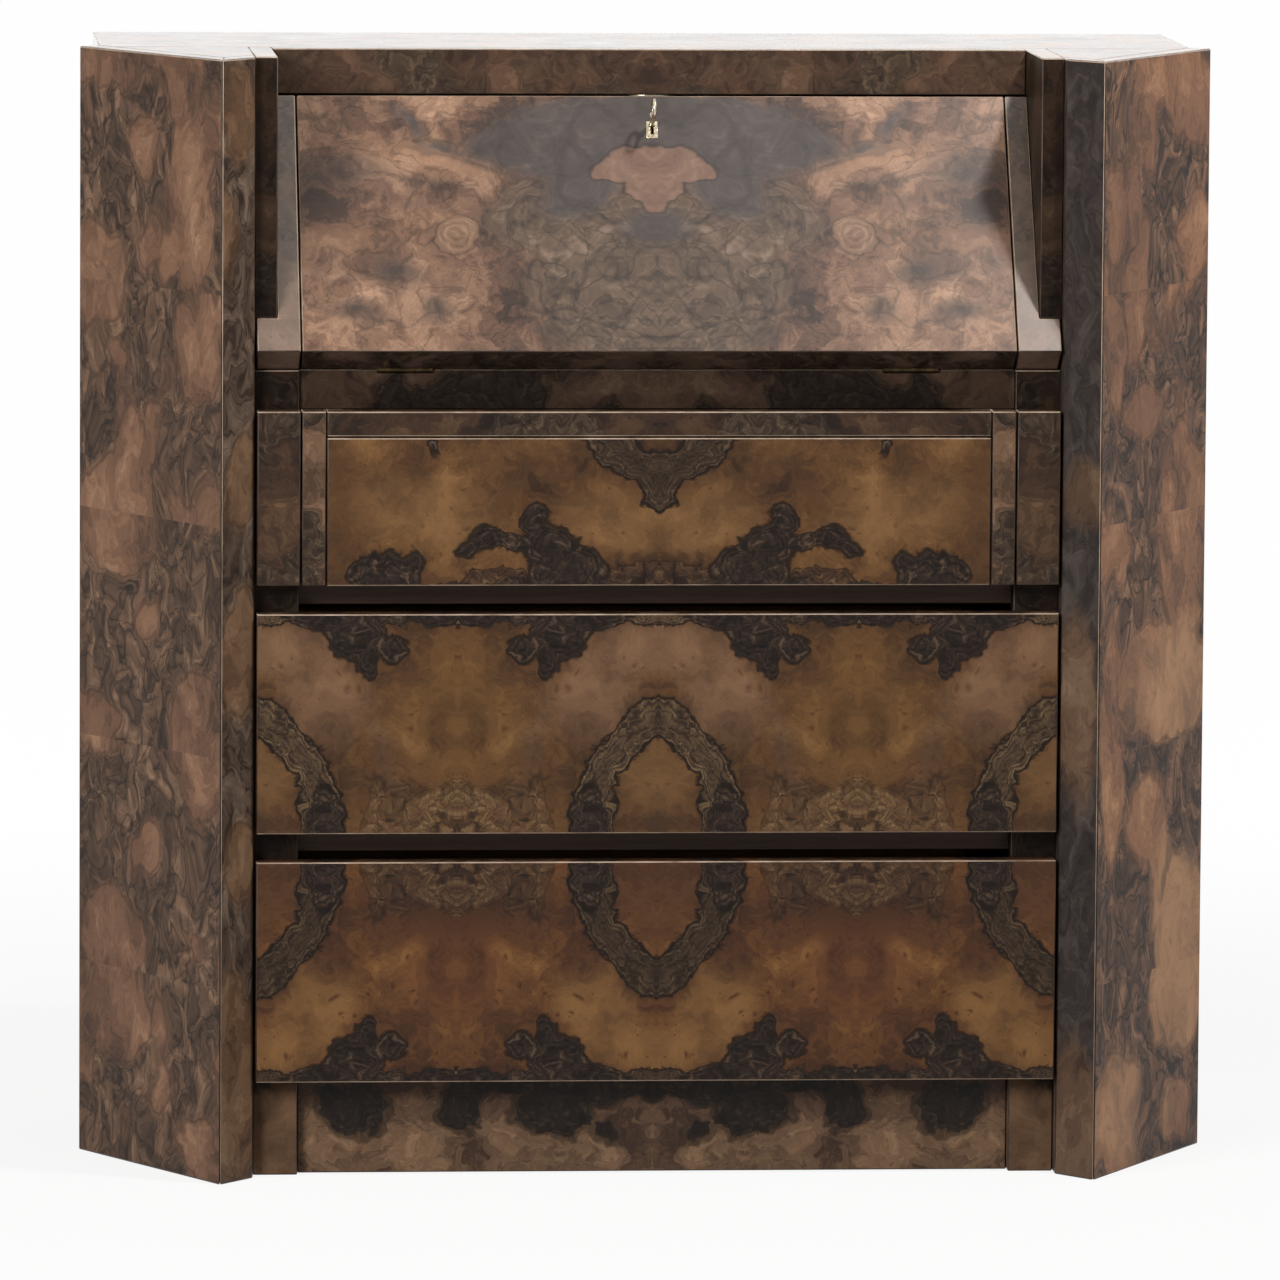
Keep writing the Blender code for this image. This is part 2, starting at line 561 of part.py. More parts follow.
def build_hinges(swing, fall, writing_board):
    """Two fall hinges: leaves let in flush with the writing surface and the fall's inner face."""
    reach = HINGE_KNUCKLE_RADIUS + GAP
    middle = HINGE_LENGTH * HINGE_KNUCKLE_SHARE / 2
    end = HINGE_LENGTH / 2
    leaf_start = reach + GAP
    leaf_end = leaf_start + HINGE_LEAF_WIDTH
    level = axis_empty("hinge_level", (0, HINGE_Y, HINGE_Z))
    for label, sign in SIDES:
        x = sign * (OPENING_HALF - FALL_SIDE_GAP - HINGE_INSET)
        across = (x - end, x + end)
        room_across = (x - end - GAP, x + end + GAP)
        knuckle_room = rod("knuckle_room_" + label, reach, across[0] - 2 * GAP, across[1] + 2 * GAP, "X",
                           (0, 0, 0), None, level)
        combine(fall, knuckle_room)
        combine(writing_board, knuckle_room)
        leaf_z = (-GAP - HINGE_LEAF_THICKNESS, -GAP)
        fixed_leaf = block("hinge_leaf_fixed_" + label, across, (0, leaf_end), leaf_z, "brass", level)
        knuckle = rod("fixed_knuckle_" + label, HINGE_KNUCKLE_RADIUS, *across, "X", (0, 0, 0), None, level)
        combine(fixed_leaf, knuckle, "UNION")
        middle_room = rod("middle_room_" + label, reach + GAP / 2, x - middle - GAP, x + middle + GAP,
                          "X", (0, 0, 0), None, level)
        combine(fixed_leaf, middle_room)
        fixed_pocket = block("fixed_pocket_" + label, room_across, (0, leaf_end + GAP),
                             (leaf_z[0] - GAP, CUT_OVERRUN), None, level)
        combine(writing_board, fixed_pocket)
        leaf_y = (-GAP - HINGE_LEAF_THICKNESS, -GAP)
        moving_leaf = block("hinge_leaf_moving_" + label, across, leaf_y, (leaf_start, leaf_end), "brass", swing)
        tongue = block("moving_tongue_" + label, (x - middle, x + middle), leaf_y, (0, leaf_start + GAP),
                       None, swing)
        combine(moving_leaf, tongue, "UNION")
        middle_knuckle = rod("moving_knuckle_" + label, HINGE_KNUCKLE_RADIUS, x - middle, x + middle, "X",
                             (0, 0, 0), None, swing)
        combine(moving_leaf, middle_knuckle, "UNION")
        moving_pocket = block("moving_pocket_" + label, room_across, (leaf_y[0] - GAP, CUT_OVERRUN),
                              (0, leaf_end + GAP), None, swing)
        combine(fall, moving_pocket)
        pin_room = rod("pin_room_" + label, HINGE_PIN_RADIUS + HINGE_PIN_PLAY, x - end - CUT_OVERRUN,
                       x + end + CUT_OVERRUN, "X", (0, 0, 0), None, level)
        combine(fixed_leaf, pin_room)
        combine(moving_leaf, pin_room)
        rod("hinge_pin_" + label, HINGE_PIN_RADIUS, *across, "X", (0, 0, 0), "steel", level)


def build_lock(fixed, swing, fall, rail):
    half = LOCK_WIDTH / 2
    case_foot = FALL_LENGTH - LOCK_HEIGHT
    case = block("lock_case", (-half, half), (-LOCK_DEPTH, 0), (case_foot, FALL_LENGTH), "steel", swing)
    pocket = block("lock_pocket", (-half - GAP, half + GAP), (-LOCK_DEPTH - GAP, CUT_OVERRUN),
                   (case_foot - GAP, FALL_LENGTH + CUT_OVERRUN), None, swing)
    combine(fall, pocket)
    bolt_foot = FALL_LENGTH - GAP - BOLT_LENGTH
    bolt_x = (-BOLT_WIDTH / 2, BOLT_WIDTH / 2)
    bolt_y = (-BOLT_INSET - BOLT_THICKNESS / 2, -BOLT_INSET + BOLT_THICKNESS / 2)
    room_x = (bolt_x[0] - BOLT_PLAY, bolt_x[1] + BOLT_PLAY)
    room_y = (bolt_y[0] - BOLT_PLAY, bolt_y[1] + BOLT_PLAY)
    bolt_slide = axis_empty("bolt_slide", (0, 0, bolt_foot), swing)
    block("lock_bolt", bolt_x, bolt_y, (0, BOLT_LENGTH), "brass", bolt_slide)
    channel = block("bolt_channel", room_x, room_y, (bolt_foot - BOLT_PLAY, FALL_LENGTH + CUT_OVERRUN),
                    None, swing)
    combine(case, channel)
    thrown = FALL_LENGTH + BOLT_THROW + GAP
    mortise = block("bolt_mortise", room_x, room_y, (FALL_LENGTH, thrown), None, fixed)
    combine(rail, mortise)
    strike_y = HINGE_Y + (FALL_LENGTH + BOLT_THROW / 2) * cos(SLANT) - BOLT_INSET * sin(SLANT)
    strike_top = RAIL_FOOT - GAP
    strike = block("strike_plate", (-STRIKE_WIDTH / 2, STRIKE_WIDTH / 2),
                   (strike_y - STRIKE_DEPTH / 2, strike_y + STRIKE_DEPTH / 2),
                   (strike_top - STRIKE_THICKNESS, strike_top), "brass")
    slot = block("strike_slot", (room_x[0] - STRIKE_MARGIN, room_x[1] + STRIKE_MARGIN),
                 (room_y[0] - STRIKE_MARGIN, room_y[1] + STRIKE_MARGIN),
                 (FALL_LENGTH - BOLT_THROW, thrown), None, fixed)
    combine(strike, slot)

    turn = axis_empty("key_axis", (0, 0, LOCK_CENTRE), swing)
    chamber_radius = KEY_SHANK_RADIUS + KEY_BIT_HEIGHT + KEY_CHAMBER_PLAY
    bit_end = -LOCK_DEPTH + KEY_BIT_LENGTH + KEY_CHAMBER_PLAY
    chamber = rod("key_chamber", chamber_radius, -LOCK_DEPTH - CUT_OVERRUN, bit_end + KEY_CHAMBER_PLAY, "Y",
                  (0, 0, 0), None, turn)
    combine(case, chamber)
    tip_room = rod("key_tip_room", KEY_HOLE_RADIUS, bit_end, bit_end + KEY_TIP + KEY_CHAMBER_PLAY * 2, "Y",
                   (0, 0, 0), None, turn)
    combine(case, tip_room)
    keyhole = rod("keyhole", KEY_HOLE_RADIUS, -FALL_THICKNESS - CUT_OVERRUN, -LOCK_DEPTH + GAP, "Y",
                  (0, 0, 0), None, turn)
    bit_reach = KEY_SHANK_RADIUS + KEY_BIT_HEIGHT
    key_slot = block("key_slot", (-KEY_SLOT_WIDTH / 2, KEY_SLOT_WIDTH / 2),
                     (-FALL_THICKNESS - CUT_OVERRUN, -LOCK_DEPTH + GAP),
                     (-bit_reach - KEY_CHAMBER_PLAY, 0), None, turn)
    plate_half = ESCUTCHEON_WIDTH / 2
    plate_low = -bit_reach - KEY_CHAMBER_PLAY - (ESCUTCHEON_WIDTH - KEY_SLOT_WIDTH) / 2
    plate_z = (plate_low, plate_low + ESCUTCHEON_HEIGHT)
    plate = block("escutcheon", (-plate_half, plate_half),
                  (-FALL_THICKNESS, -FALL_THICKNESS + ESCUTCHEON_THICKNESS), plate_z, "brass", turn)
    recess = block("escutcheon_recess", (-plate_half - GAP, plate_half + GAP),
                   (-FALL_THICKNESS - CUT_OVERRUN, -FALL_THICKNESS + ESCUTCHEON_THICKNESS + GAP),
                   (plate_z[0] - GAP, plate_z[1] + GAP), None, turn)
    combine(fall, recess)
    for piece in (fall, plate):
        combine(piece, keyhole)
        combine(piece, key_slot)

    shank_out = -FALL_THICKNESS - KEY_REACH
    key = rod("key", KEY_SHANK_RADIUS, shank_out, bit_end + KEY_TIP, "Y", (0, 0, 0), "brass", turn)
    bit = block("key_bit", (-KEY_BIT_THICKNESS / 2, KEY_BIT_THICKNESS / 2),
                (bit_end - KEY_BIT_LENGTH, bit_end), (-bit_reach, 0), None, turn)
    combine(key, bit, "UNION")
    ring_shape = bmesh.new()
    section = bmesh.ops.create_circle(ring_shape, segments=10, radius=KEY_BOW_WIRE)["verts"]
    bmesh.ops.rotate(ring_shape, matrix=Matrix.Rotation(pi / 2, 3, "Y"), verts=section)
    bmesh.ops.rotate(ring_shape, matrix=Matrix.Rotation(pi / 2, 3, "Z"), verts=section)
    bmesh.ops.translate(ring_shape, vec=(0, 0, KEY_BOW_RADIUS), verts=section)
    bmesh.ops.spin(ring_shape, geom=ring_shape.edges[:], cent=(0, 0, 0), axis=(1, 0, 0), angle=2 * pi,
                   steps=28, use_merge=True)
    bmesh.ops.remove_doubles(ring_shape, verts=ring_shape.verts, dist=GAP / 10)
    bmesh.ops.recalc_face_normals(ring_shape, faces=ring_shape.faces)
    ring = finish_object("key_bow", ring_shape, None, turn)
    ring.location = (0, shank_out - KEY_BOW_RADIUS, 0)
    combine(key, ring, "UNION")


build_columns()
top_rail = build_top_and_back()
build_inner_sides()
build_front_frame()
desk_surface = build_writing_board()
build_interior()
build_lopers()
build_drawers()
slant_frame, fall_swing, fall_panel = build_slant()
build_hinges(fall_swing, fall_panel, desk_surface)
build_lock(slant_frame, fall_swing, fall_panel, top_rail)
bpy.context.view_layer.update()
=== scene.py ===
import json
from math import pi, radians

import bmesh
import bpy
from mathutils import Matrix, Vector


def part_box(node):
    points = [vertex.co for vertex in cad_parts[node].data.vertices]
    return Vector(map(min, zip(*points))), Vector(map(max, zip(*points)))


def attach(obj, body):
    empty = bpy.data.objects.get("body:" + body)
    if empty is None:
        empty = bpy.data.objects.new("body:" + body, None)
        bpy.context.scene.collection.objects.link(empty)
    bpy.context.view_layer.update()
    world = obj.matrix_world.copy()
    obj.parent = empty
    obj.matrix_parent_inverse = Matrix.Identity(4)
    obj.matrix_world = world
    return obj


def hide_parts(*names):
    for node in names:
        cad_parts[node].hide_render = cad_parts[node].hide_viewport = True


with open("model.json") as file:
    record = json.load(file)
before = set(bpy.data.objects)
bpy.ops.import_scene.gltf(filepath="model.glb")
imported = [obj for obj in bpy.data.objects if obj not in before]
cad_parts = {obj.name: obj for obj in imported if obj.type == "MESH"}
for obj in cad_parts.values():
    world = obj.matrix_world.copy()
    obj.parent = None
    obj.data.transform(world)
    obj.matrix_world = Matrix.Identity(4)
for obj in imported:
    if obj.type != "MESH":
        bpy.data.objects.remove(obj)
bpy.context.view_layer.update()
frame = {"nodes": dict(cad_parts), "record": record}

mm = 0.001
scene = bpy.context.scene
scene.view_settings.view_transform = "Standard"
print("frame loaded,", len(frame["nodes"]), "nodes")

# camera: a long lens from ten metres off, a little left of the desk and above it

cameraLook = {
    "place": (-0.778, -10.2225, 1.603),
    "yaw": -4.337,
    "pitch": -6.297,
    "roll": -0.375,
    "lens": 314.0,
    "sensor": 36.0,
}


def makeCamera():
    data = bpy.data.cameras.new("deskCamera")
    data.sensor_width = cameraLook["sensor"]
    data.lens = cameraLook["lens"]
    data.clip_end = 100.0
    camera = bpy.data.objects.new("deskCamera", data)
    aim = (Matrix.Rotation(radians(cameraLook["yaw"]), 4, "Z")
           @ Matrix.Rotation(radians(cameraLook["pitch"]), 4, "X")
           @ Matrix.Rotation(radians(cameraLook["roll"]), 4, "Y")
           @ Matrix.Rotation(radians(90), 4, "X"))
    camera.matrix_world = Matrix.Translation(cameraLook["place"]) @ aim
    scene.collection.objects.link(camera)
    scene.camera = camera


makeCamera()
print("camera placed")


def colour(hexValue):
    channels = [int(hexValue[i:i + 2], 16) / 255 for i in (1, 3, 5)]
    linear = [c / 12.92 if c <= 0.04045 else ((c + 0.055) / 1.055) ** 2.4 for c in channels]
    return (*linear, 1.0)


def add(tree, kind, inputs=None, stops=None, **settings):
    made = tree.nodes.new("ShaderNode" + kind)
    for name, value in settings.items():
        setattr(made, name, value)
    if stops:
        ramp = made.color_ramp.elements
        while len(ramp) < len(stops):
            ramp.new(1.0)
        for element, (place, tint) in zip(ramp, stops):
            element.position = place
            element.color = colour(tint)
    for key, value in (inputs or {}).items():
        if isinstance(value, bpy.types.Node):
            value = value.outputs[0]    # a node stands for its first output
        if isinstance(value, bpy.types.NodeSocket):
            tree.links.new(value, made.inputs[key])
        else:
            made.inputs[key].default_value = value
    return made


def newMaterial(name):
    material = bpy.data.materials.new(name)
    material.use_nodes = True
    tree = material.node_tree
    tree.nodes.clear()
    return material, tree


# burr walnut: book-matched leaves of knotty veneer under satin lacquer. The eye sees a golden brown
# field, dark swirling clusters with inky rims, and fine lines that follow the rims

fieldPlaces = (0.25, 0.43, 0.57, 0.75)     # where the four tints of a field sit in its ramp
figurePlaces = (0.28, 0.43, 0.57, 0.72)    # and those of a figure
burrLook = {
    "field": ("#38261a", "#583d27", "#6c4c2f", "#86623e"),
    "contrast": 1.25,
    "toneMiddle": 0.68,  # the mean of the noises below, brought to the middle of the ramp
    "grainShare": 0.12,
    "swirlShare": 0.24,
    "flame": 0.02,       # faint growth lines in the field
    "flameTurns": 70.0,
    "ink": "#120c09",
    "speck": "#3a1d13",
    "depthShift": 0.6,   # the figure shifts with depth, so that a board's edges show no streaks
    "courseStep": 0.37,
    "stretch": 1.0,      # above 1 draws the figure out along the board
    "swayMm": 34,        # size of the swirls that bend the rims
    "swayReachMm": 13,
    "curlMm": 8,         # small curls along the rims
    "curlReachMm": 5.5,
    "linePitchMm": 5.0,  # real lines are about 1 mm apart, drawn coarser to show
    "lineShare": 0.09,
    "lineFarShare": 0.25,
    "lineReachMm": 16,   # how far from the rim the lines keep beside it
    "lineSway": 9.0,
    "swirlMm": 17,
    "veinMm": 22,        # dark threads that wander through a figure
    "veinWidth": 0.045,
    "vein": 0.5,
    "fieldVein": 0.2,    # the share of them that shows in the field as well
    "contourMm": 40,     # dark contours that crowd together in a figure
    "contours": 7,
    "contourWidth": 0.15,
    "contour": 0.0,
    "mottleMm": 60,
    "knotMm": 26,
    "knotWidths": (0.02, 0.24),
    "knotFrom": 0.5,
    "knot": 0.5,
    "grainMm": 2.2,
    "reliefMm": 0.4,
    "shadeMm": 26,       # how far the field stays darker beside a cluster
    "shade": 0.09,
    "washRange": (0.36, 0.6, 0.4),    # mottle between which a wash comes up, and the least of it
    "wildSpread": 1.6,
    "blendMm": 7,
    "holeBlendMm": 3.0,
    "fadeOut": (-0.65, 0.35),         # where a figure fades, in widths of its soft edge
    "rimFade": (-0.8, 0.5),
    "rimRagged": 1.5,
    "roughness": 0.42,
    "sheenSwing": 0.05,
    "specular": 0.12,
    "coat": 0.05,
    "coatRoughness": 0.25,
    "bump": 0.06,
}
# detail, roughness and distortion of the noises that a leaf is mixed from
burrClouds = {
    "swirl": (5.0, 0.64, 1.6),
    "grain": (1.0, 0.6, 0.0),
    "mottle": (5.0, 0.62, 0.0),
    "vein": (3.0, 0.5, 1.2),
    "contour": (1.5, 0.5, 1.2),
}
wildCloud = {"Detail": 2.0, "Roughness": 0.5}    # the noise whose hollows are the clusters of a wild burr
# the kinds of figure in the field, each with its own tints, rim width in mm and rim strength; calm below
# 1 takes swirl out of a kind, lines above 1 strengthens the lines beside its rim, and threaded says
# whether dark threads cross it
figureKinds = {
    "band": {"tints": ("#241a13", "#46362a", "#604c38", "#8a7253"),
             "rimMm": 2.6, "rim": 0.95, "softMm": 2.0, "calm": 0.55, "lines": 1.6},
    "burl": {"tints": ("#33251b", "#553e2b", "#6d5138", "#937856"),
             "rimMm": 1.5, "rim": 0.35, "softMm": 14.0, "lines": 0.4},
    "cluster": {"tints": ("#110b09", "#231a15", "#392c24", "#655140"),
                "rimMm": 2.6, "rim": 0.85, "softMm": 3.0, "lines": 1.1},
    "island": {"tints": ("#5a4438", "#6f5446", "#7a5e4e", "#8a6c5a"),
               "rimMm": 2.0, "rim": 0.5, "softMm": 4.0, "threaded": False},
}


def blobDistance(tree, point, blobs, blend):
    # distance in mm to the nearest of a few soft ellipses, each (across, up, two radii, turn)
    nearest = None
    for across, up, radiusAcross, radiusUp, turn in blobs:
        local = add(tree, "Mapping", {
            "Vector": point, "Location": (across * mm, up * mm, 0), "Rotation": (0, 0, radians(turn)),
            "Scale": (radiusAcross * mm, radiusUp * mm, 1e6)}, vector_type="TEXTURE")
        length = add(tree, "VectorMath", {0: local}, operation="LENGTH")
        radius = (radiusAcross * radiusUp) ** 0.5
        away = add(tree, "Math", {0: length.outputs["Value"], 1: radius, 2: -radius},
                   operation="MULTIPLY_ADD")
        if nearest is None:
            nearest = away
        else:
            nearest = add(tree, "Math", {0: nearest, 1: away, 2: blend},
                          operation="SMOOTH_MIN")
    return nearest


def leafPlane(tree, panel, look):
    # the place on the panel's leaf of veneer, plain and drawn out along the board
    place = add(tree, "TexCoord").outputs["Object"]
    if panel.get("mirrored", False):
        split = add(tree, "SeparateXYZ", {0: place})
        side = add(tree, "Math", {0: split.outputs["X"]}, operation="ABSOLUTE")
        place = add(tree, "CombineXYZ", {"X": side, "Y": split.outputs["Y"],
                                         "Z": split.outputs["Z"]})
    flat = []
    for way in (panel["across"], panel["up"]):
        slanted = Vector(way) + look["depthShift"] * Vector(panel["through"])
        along = add(tree, "VectorMath", {0: place, 1: slanted}, operation="DOT_PRODUCT")
        flat.append(add(tree, "Math", {0: along.outputs["Value"],
                                       1: -slanted.dot(panel["origin"])}))
    if "leafMm" in panel:
        flat[0] = add(tree, "Math", {0: flat[0], 1: panel["leafMm"] * mm},
                      operation="PINGPONG")
    seed = panel["seed"]
    if "courseMm" in panel:
        # each course of veneer starts a fresh cut of the burr
        course = add(tree, "Math", {0: flat[1], 1: 1 / (panel["courseMm"] * mm),
                                    2: -panel["courseStartMm"] / panel["courseMm"]},
                     operation="MULTIPLY_ADD")
        course = add(tree, "Math", {0: course}, operation="FLOOR")
        seed = add(tree, "Math", {0: course, 1: look["courseStep"], 2: seed},
                   operation="MULTIPLY_ADD")
    plane = add(tree, "CombineXYZ", {"X": flat[0], "Y": flat[1], "Z": seed})
    drawn = add(tree, "VectorMath", {0: plane, 1: (1, 1 / look["stretch"], 1)},
                operation="MULTIPLY")
    return plane, drawn


def burrWalnut(name, panel):
    look = {**burrLook, **panel.get("look", {})}
    material, tree = newMaterial(name)
    ink = colour(look["ink"])

    # bend the plane so that every rim wanders like a growth ring
    bent, drawn = leafPlane(tree, panel, look)
    bends = []
    for size, reach in ((look["swayMm"], look["swayReachMm"]), (look["curlMm"], look["curlReachMm"])):
        cloud = add(tree, "TexNoise", {"Vector": drawn, "Scale": 1 / (size * mm), "Detail": 2.0,
                                       "Roughness": 0.55})
        centred = add(tree, "VectorMath", {0: cloud.outputs["Color"], 1: (0.5, 0.5, 0.5)},
                      operation="SUBTRACT")
        sway = (reach * mm * 2, reach * mm * 2, 0)
        bent, drawn = (add(tree, "VectorMath", {0: centred, 1: sway, 2: straight},
                           operation="MULTIPLY_ADD") for straight in (bent, drawn))
        bends.append(bent)

    clouds = {}
    for cloud, (detail, roughness, distortion) in burrClouds.items():
        clouds[cloud] = add(tree, "TexNoise", {
            "Vector": bent if cloud == "grain" else drawn, "Scale": 1 / (look[cloud + "Mm"] * mm),
            "Detail": detail, "Roughness": roughness, "Distortion": distortion})
    swirl, grain, mottle = (clouds[cloud] for cloud in ("swirl", "grain", "mottle"))
    threads = []
    for thread, levels in (("vein", 1), ("contour", look["contours"])):
        level = add(tree, "Math", {0: clouds[thread], 1: levels, 2: -0.5 * levels},
                    operation="MULTIPLY_ADD")
        ridge = add(tree, "Math", {0: level, 1: 0.5}, operation="PINGPONG")
        threads.append(add(tree, "MapRange", {
            "Value": ridge, "From Min": 0.0, "From Max": look[thread + "Width"],
            "To Min": look[thread], "To Max": 0.0}, interpolation_type="SMOOTHSTEP"))

    # distance in mm to each kind of figure on this panel
    distances = {}
    for kind, figure in panel["figures"].items():
        parts = []
        if "blobs" in figure:
            blend = figure.get("blendMm", look["blendMm"])
            parts.append(blobDistance(tree, bent, figure["blobs"], blend))
        if "wildMm" in figure:
            wild = add(tree, "TexNoise", {"Vector": drawn, "Scale": 1 / (figure["wildMm"] * mm),
                                          **wildCloud})
            spread = figure["wildMm"] * look["wildSpread"]
            parts.append(add(tree, "Math", {0: wild, 1: spread, 2: -spread * figure["level"]},
                             operation="MULTIPLY_ADD"))
        if "holes" in figure:
            hole = blobDistance(tree, bent, figure["holes"], look["blendMm"])
            parts.append(add(tree, "Math", {0: hole, 1: -1.0}, operation="MULTIPLY"))
        distances[kind] = parts[0]
        for part in parts[1:]:
            distances[kind] = add(tree, "Math", {0: distances[kind], 1: part, 2: look["holeBlendMm"]},
                                  operation="SMOOTH_MAX")

    # golden field: soft mottle, faint growth lines and a little grain, darker close to the figures
    growth = add(tree, "Math", {0: mottle, 1: look["flameTurns"]}, operation="MULTIPLY")
    growth = add(tree, "Math", {0: growth}, operation="SINE")
    tone = mottle
    for noise, share in ((grain, look["grainShare"]), (swirl, look["swirlShare"]),
                         (growth, look["flame"])):
        tone = add(tree, "Math", {0: noise, 1: share, 2: tone}, operation="MULTIPLY_ADD")
    lift = 0.5 - look["toneMiddle"] * look["contrast"]
    tone = add(tree, "Math", {0: tone, 1: look["contrast"], 2: lift}, operation="MULTIPLY_ADD")
    for away in distances.values():
        beside = add(tree, "MapRange", {"Value": away, "From Min": 0.0, "From Max": look["shadeMm"],
                                        "To Min": look["shade"], "To Max": 0.0},
                     interpolation_type="SMOOTHSTEP")
        tone = add(tree, "Math", {0: tone, 1: beside}, operation="SUBTRACT")
    result = add(tree, "ValToRGB", {"Fac": tone}, stops=list(zip(fieldPlaces, look["field"])))

    # what lies over the field, from the lowest up: a tint and how much of it shows
    layers = []

    # broad washes of lighter or smokier wood; the pale washes on the right wing's lower part and at the
    # front posts' feet are painted light
    patchFrom, patchTo, patchLeast = look["washRange"]
    for tint, softMm, most, blobs in panel.get("washes", ()):
        away = blobDistance(tree, bent, blobs, softMm)
        share = add(tree, "MapRange", {"Value": away, "From Min": -softMm, "From Max": softMm,
                                       "To Min": most, "To Max": 0.0}, interpolation_type="SMOOTHSTEP")
        patchy = add(tree, "MapRange", {"Value": mottle, "From Min": patchFrom, "From Max": patchTo,
                                        "To Min": patchLeast})
        share = add(tree, "Math", {0: share, 1: patchy}, operation="MULTIPLY")
        layers.append((colour(tint), share))
    wisp = add(tree, "Math", {0: threads[0], 1: look["fieldVein"]}, operation="MULTIPLY")
    layers.append((ink, wisp))

    # small reddish pin knots, only where the field is light
    knots = add(tree, "TexVoronoi", {"Vector": bends[0], "Scale": 1 / (look["knotMm"] * mm)},
                voronoi_dimensions="2D")
    least, extra = look["knotWidths"]
    width = add(tree, "Math", {0: knots.outputs["Color"], 1: extra, 2: least}, operation="MULTIPLY_ADD")
    knot = add(tree, "MapRange", {"Value": knots.outputs["Distance"], "From Min": 0.0,
                                  "From Max": width, "To Min": look["knot"], "To Max": 0.0})
    keep = add(tree, "Math", {0: mottle, 1: look["knotFrom"]}, operation="GREATER_THAN")
    knot = add(tree, "Math", {0: knot, 1: keep}, operation="MULTIPLY")
    layers.append((colour(look["speck"]), knot))

    # the figures: smoky swirls and dark threads, lines that keep beside the rim, then the inky rim
    for kind, away in distances.items():
        how = {**figureKinds[kind], **panel["figures"][kind]}
        turns = add(tree, "Math", {0: away, 1: 2 * pi / look["linePitchMm"]}, operation="MULTIPLY")
        phase = add(tree, "Math", {0: swirl, 1: look["lineSway"], 2: turns},
                    operation="MULTIPLY_ADD")
        lines = add(tree, "Math", {0: phase}, operation="SINE")
        strength = look["lineShare"] * how.get("lines", 1.0)
        near = add(tree, "MapRange", {"Value": away, "From Min": -look["lineReachMm"], "From Max": 0.0,
                                      "To Min": look["lineFarShare"] * strength, "To Max": strength})
        calm = how.get("calm", 1.0)
        calmer = add(tree, "Math", {0: swirl, 1: calm, 2: 0.5 - 0.5 * calm}, operation="MULTIPLY_ADD")
        smoke = add(tree, "Math", {0: lines, 1: near, 2: calmer},
                    operation="MULTIPLY_ADD")
        tint = add(tree, "ValToRGB", {"Fac": smoke},
                   stops=list(zip(figurePlaces, how["tints"])))
        for thread in threads if how.get("threaded", True) else ():
            tint = add(tree, "Mix", {"Factor": thread, "A": tint, "B": ink}, data_type="RGBA").outputs[2]
        inner, outer = (edge * how["softMm"] for edge in look["fadeOut"])
        inside = add(tree, "MapRange", {"Value": away, "From Min": inner, "From Max": outer,
                                        "To Min": 1.0, "To Max": 0.0}, interpolation_type="SMOOTHSTEP")
        layers.append((tint, inside))
        span = add(tree, "Math", {0: away}, operation="ABSOLUTE")
        uneven = add(tree, "Math", {0: mottle, 1: -how["rimMm"] * look["rimRagged"], 2: span},
                     operation="MULTIPLY_ADD")
        inner, outer = (edge * how["rimMm"] for edge in look["rimFade"])
        rim = add(tree, "MapRange", {"Value": uneven, "From Min": inner, "From Max": outer,
                                     "To Min": how["rim"], "To Max": 0.0},
                  interpolation_type="SMOOTHSTEP")
        layers.append((ink, rim))
    for over, share in layers:
        result = add(tree, "Mix", {"Factor": share, "A": result, "B": over}, data_type="RGBA").outputs[2]

    sheen = add(tree, "MapRange", {"Value": mottle, "From Min": 0.3, "From Max": 0.7,
                                   "To Min": look["roughness"] - look["sheenSwing"],
                                   "To Max": look["roughness"] + look["sheenSwing"]})
    relief = add(tree, "Bump", {"Strength": look["bump"], "Distance": look["reliefMm"] * mm,
                                "Height": grain})
    add(tree, "OutputMaterial", {"Surface": add(tree, "BsdfPrincipled", {
        "Base Color": result, "Roughness": sheen, "Normal": relief, "IOR": 1.5,
        "Specular IOR Level": look["specular"], "Coat Weight": look["coat"],
        "Coat Roughness": look["coatRoughness"]})})
    return material


# the leaves of veneer, panel by panel. Blobs and holes are in mm from the panel's origin, and a wash is
# a tint, its soft edge in mm, its share and its blobs. First the leaf on the two wide drawers, in mm
# from the middle seam and from the ring's middle

frontLeaf = {"mirrored": True, "across": (1, 0, 0), "up": (0, 0, 1), "through": (0, 1, 0)}
drawerLeaf = {
    "band": {"blobs": [(-50, 20, 128, 112, 0), (10, 200, 44, 12, 0)], "holes": [(-25, 8, 66, 86, 0)]},
    "burl": {"blobs": [(182, 4, 50, 44, 0), (132, 8, 18, 36, 0), (112, 30, 9, 22, 10),
                       (105, 4, 12, 22, 0)]},
    "cluster": {"blobs": [
        (66, 198, 40, 14, 0), (90, 181, 25, 21, 0), (104, 160, 11, 19, 0), (124, 170, 13, 11, 0),
        (182, 200, 44, 11, 0), (62, 12, 15, 34, 0), (128, 199, 34, 6, 0)]},
}
drawerLook = {"contour": 0.5, "contours": 5, "contourMm": 34, "knotMm": 20, "knot": 0.6, "swirlMm": 19,
              "shadeMm": 20, "shade": 0.055}
darkBand = ("#1f1712", "#372a20", "#4a3a2c", "#6a5640")
darkBurl = ("#201611", "#3f2d22", "#573f2d", "#7c6449")
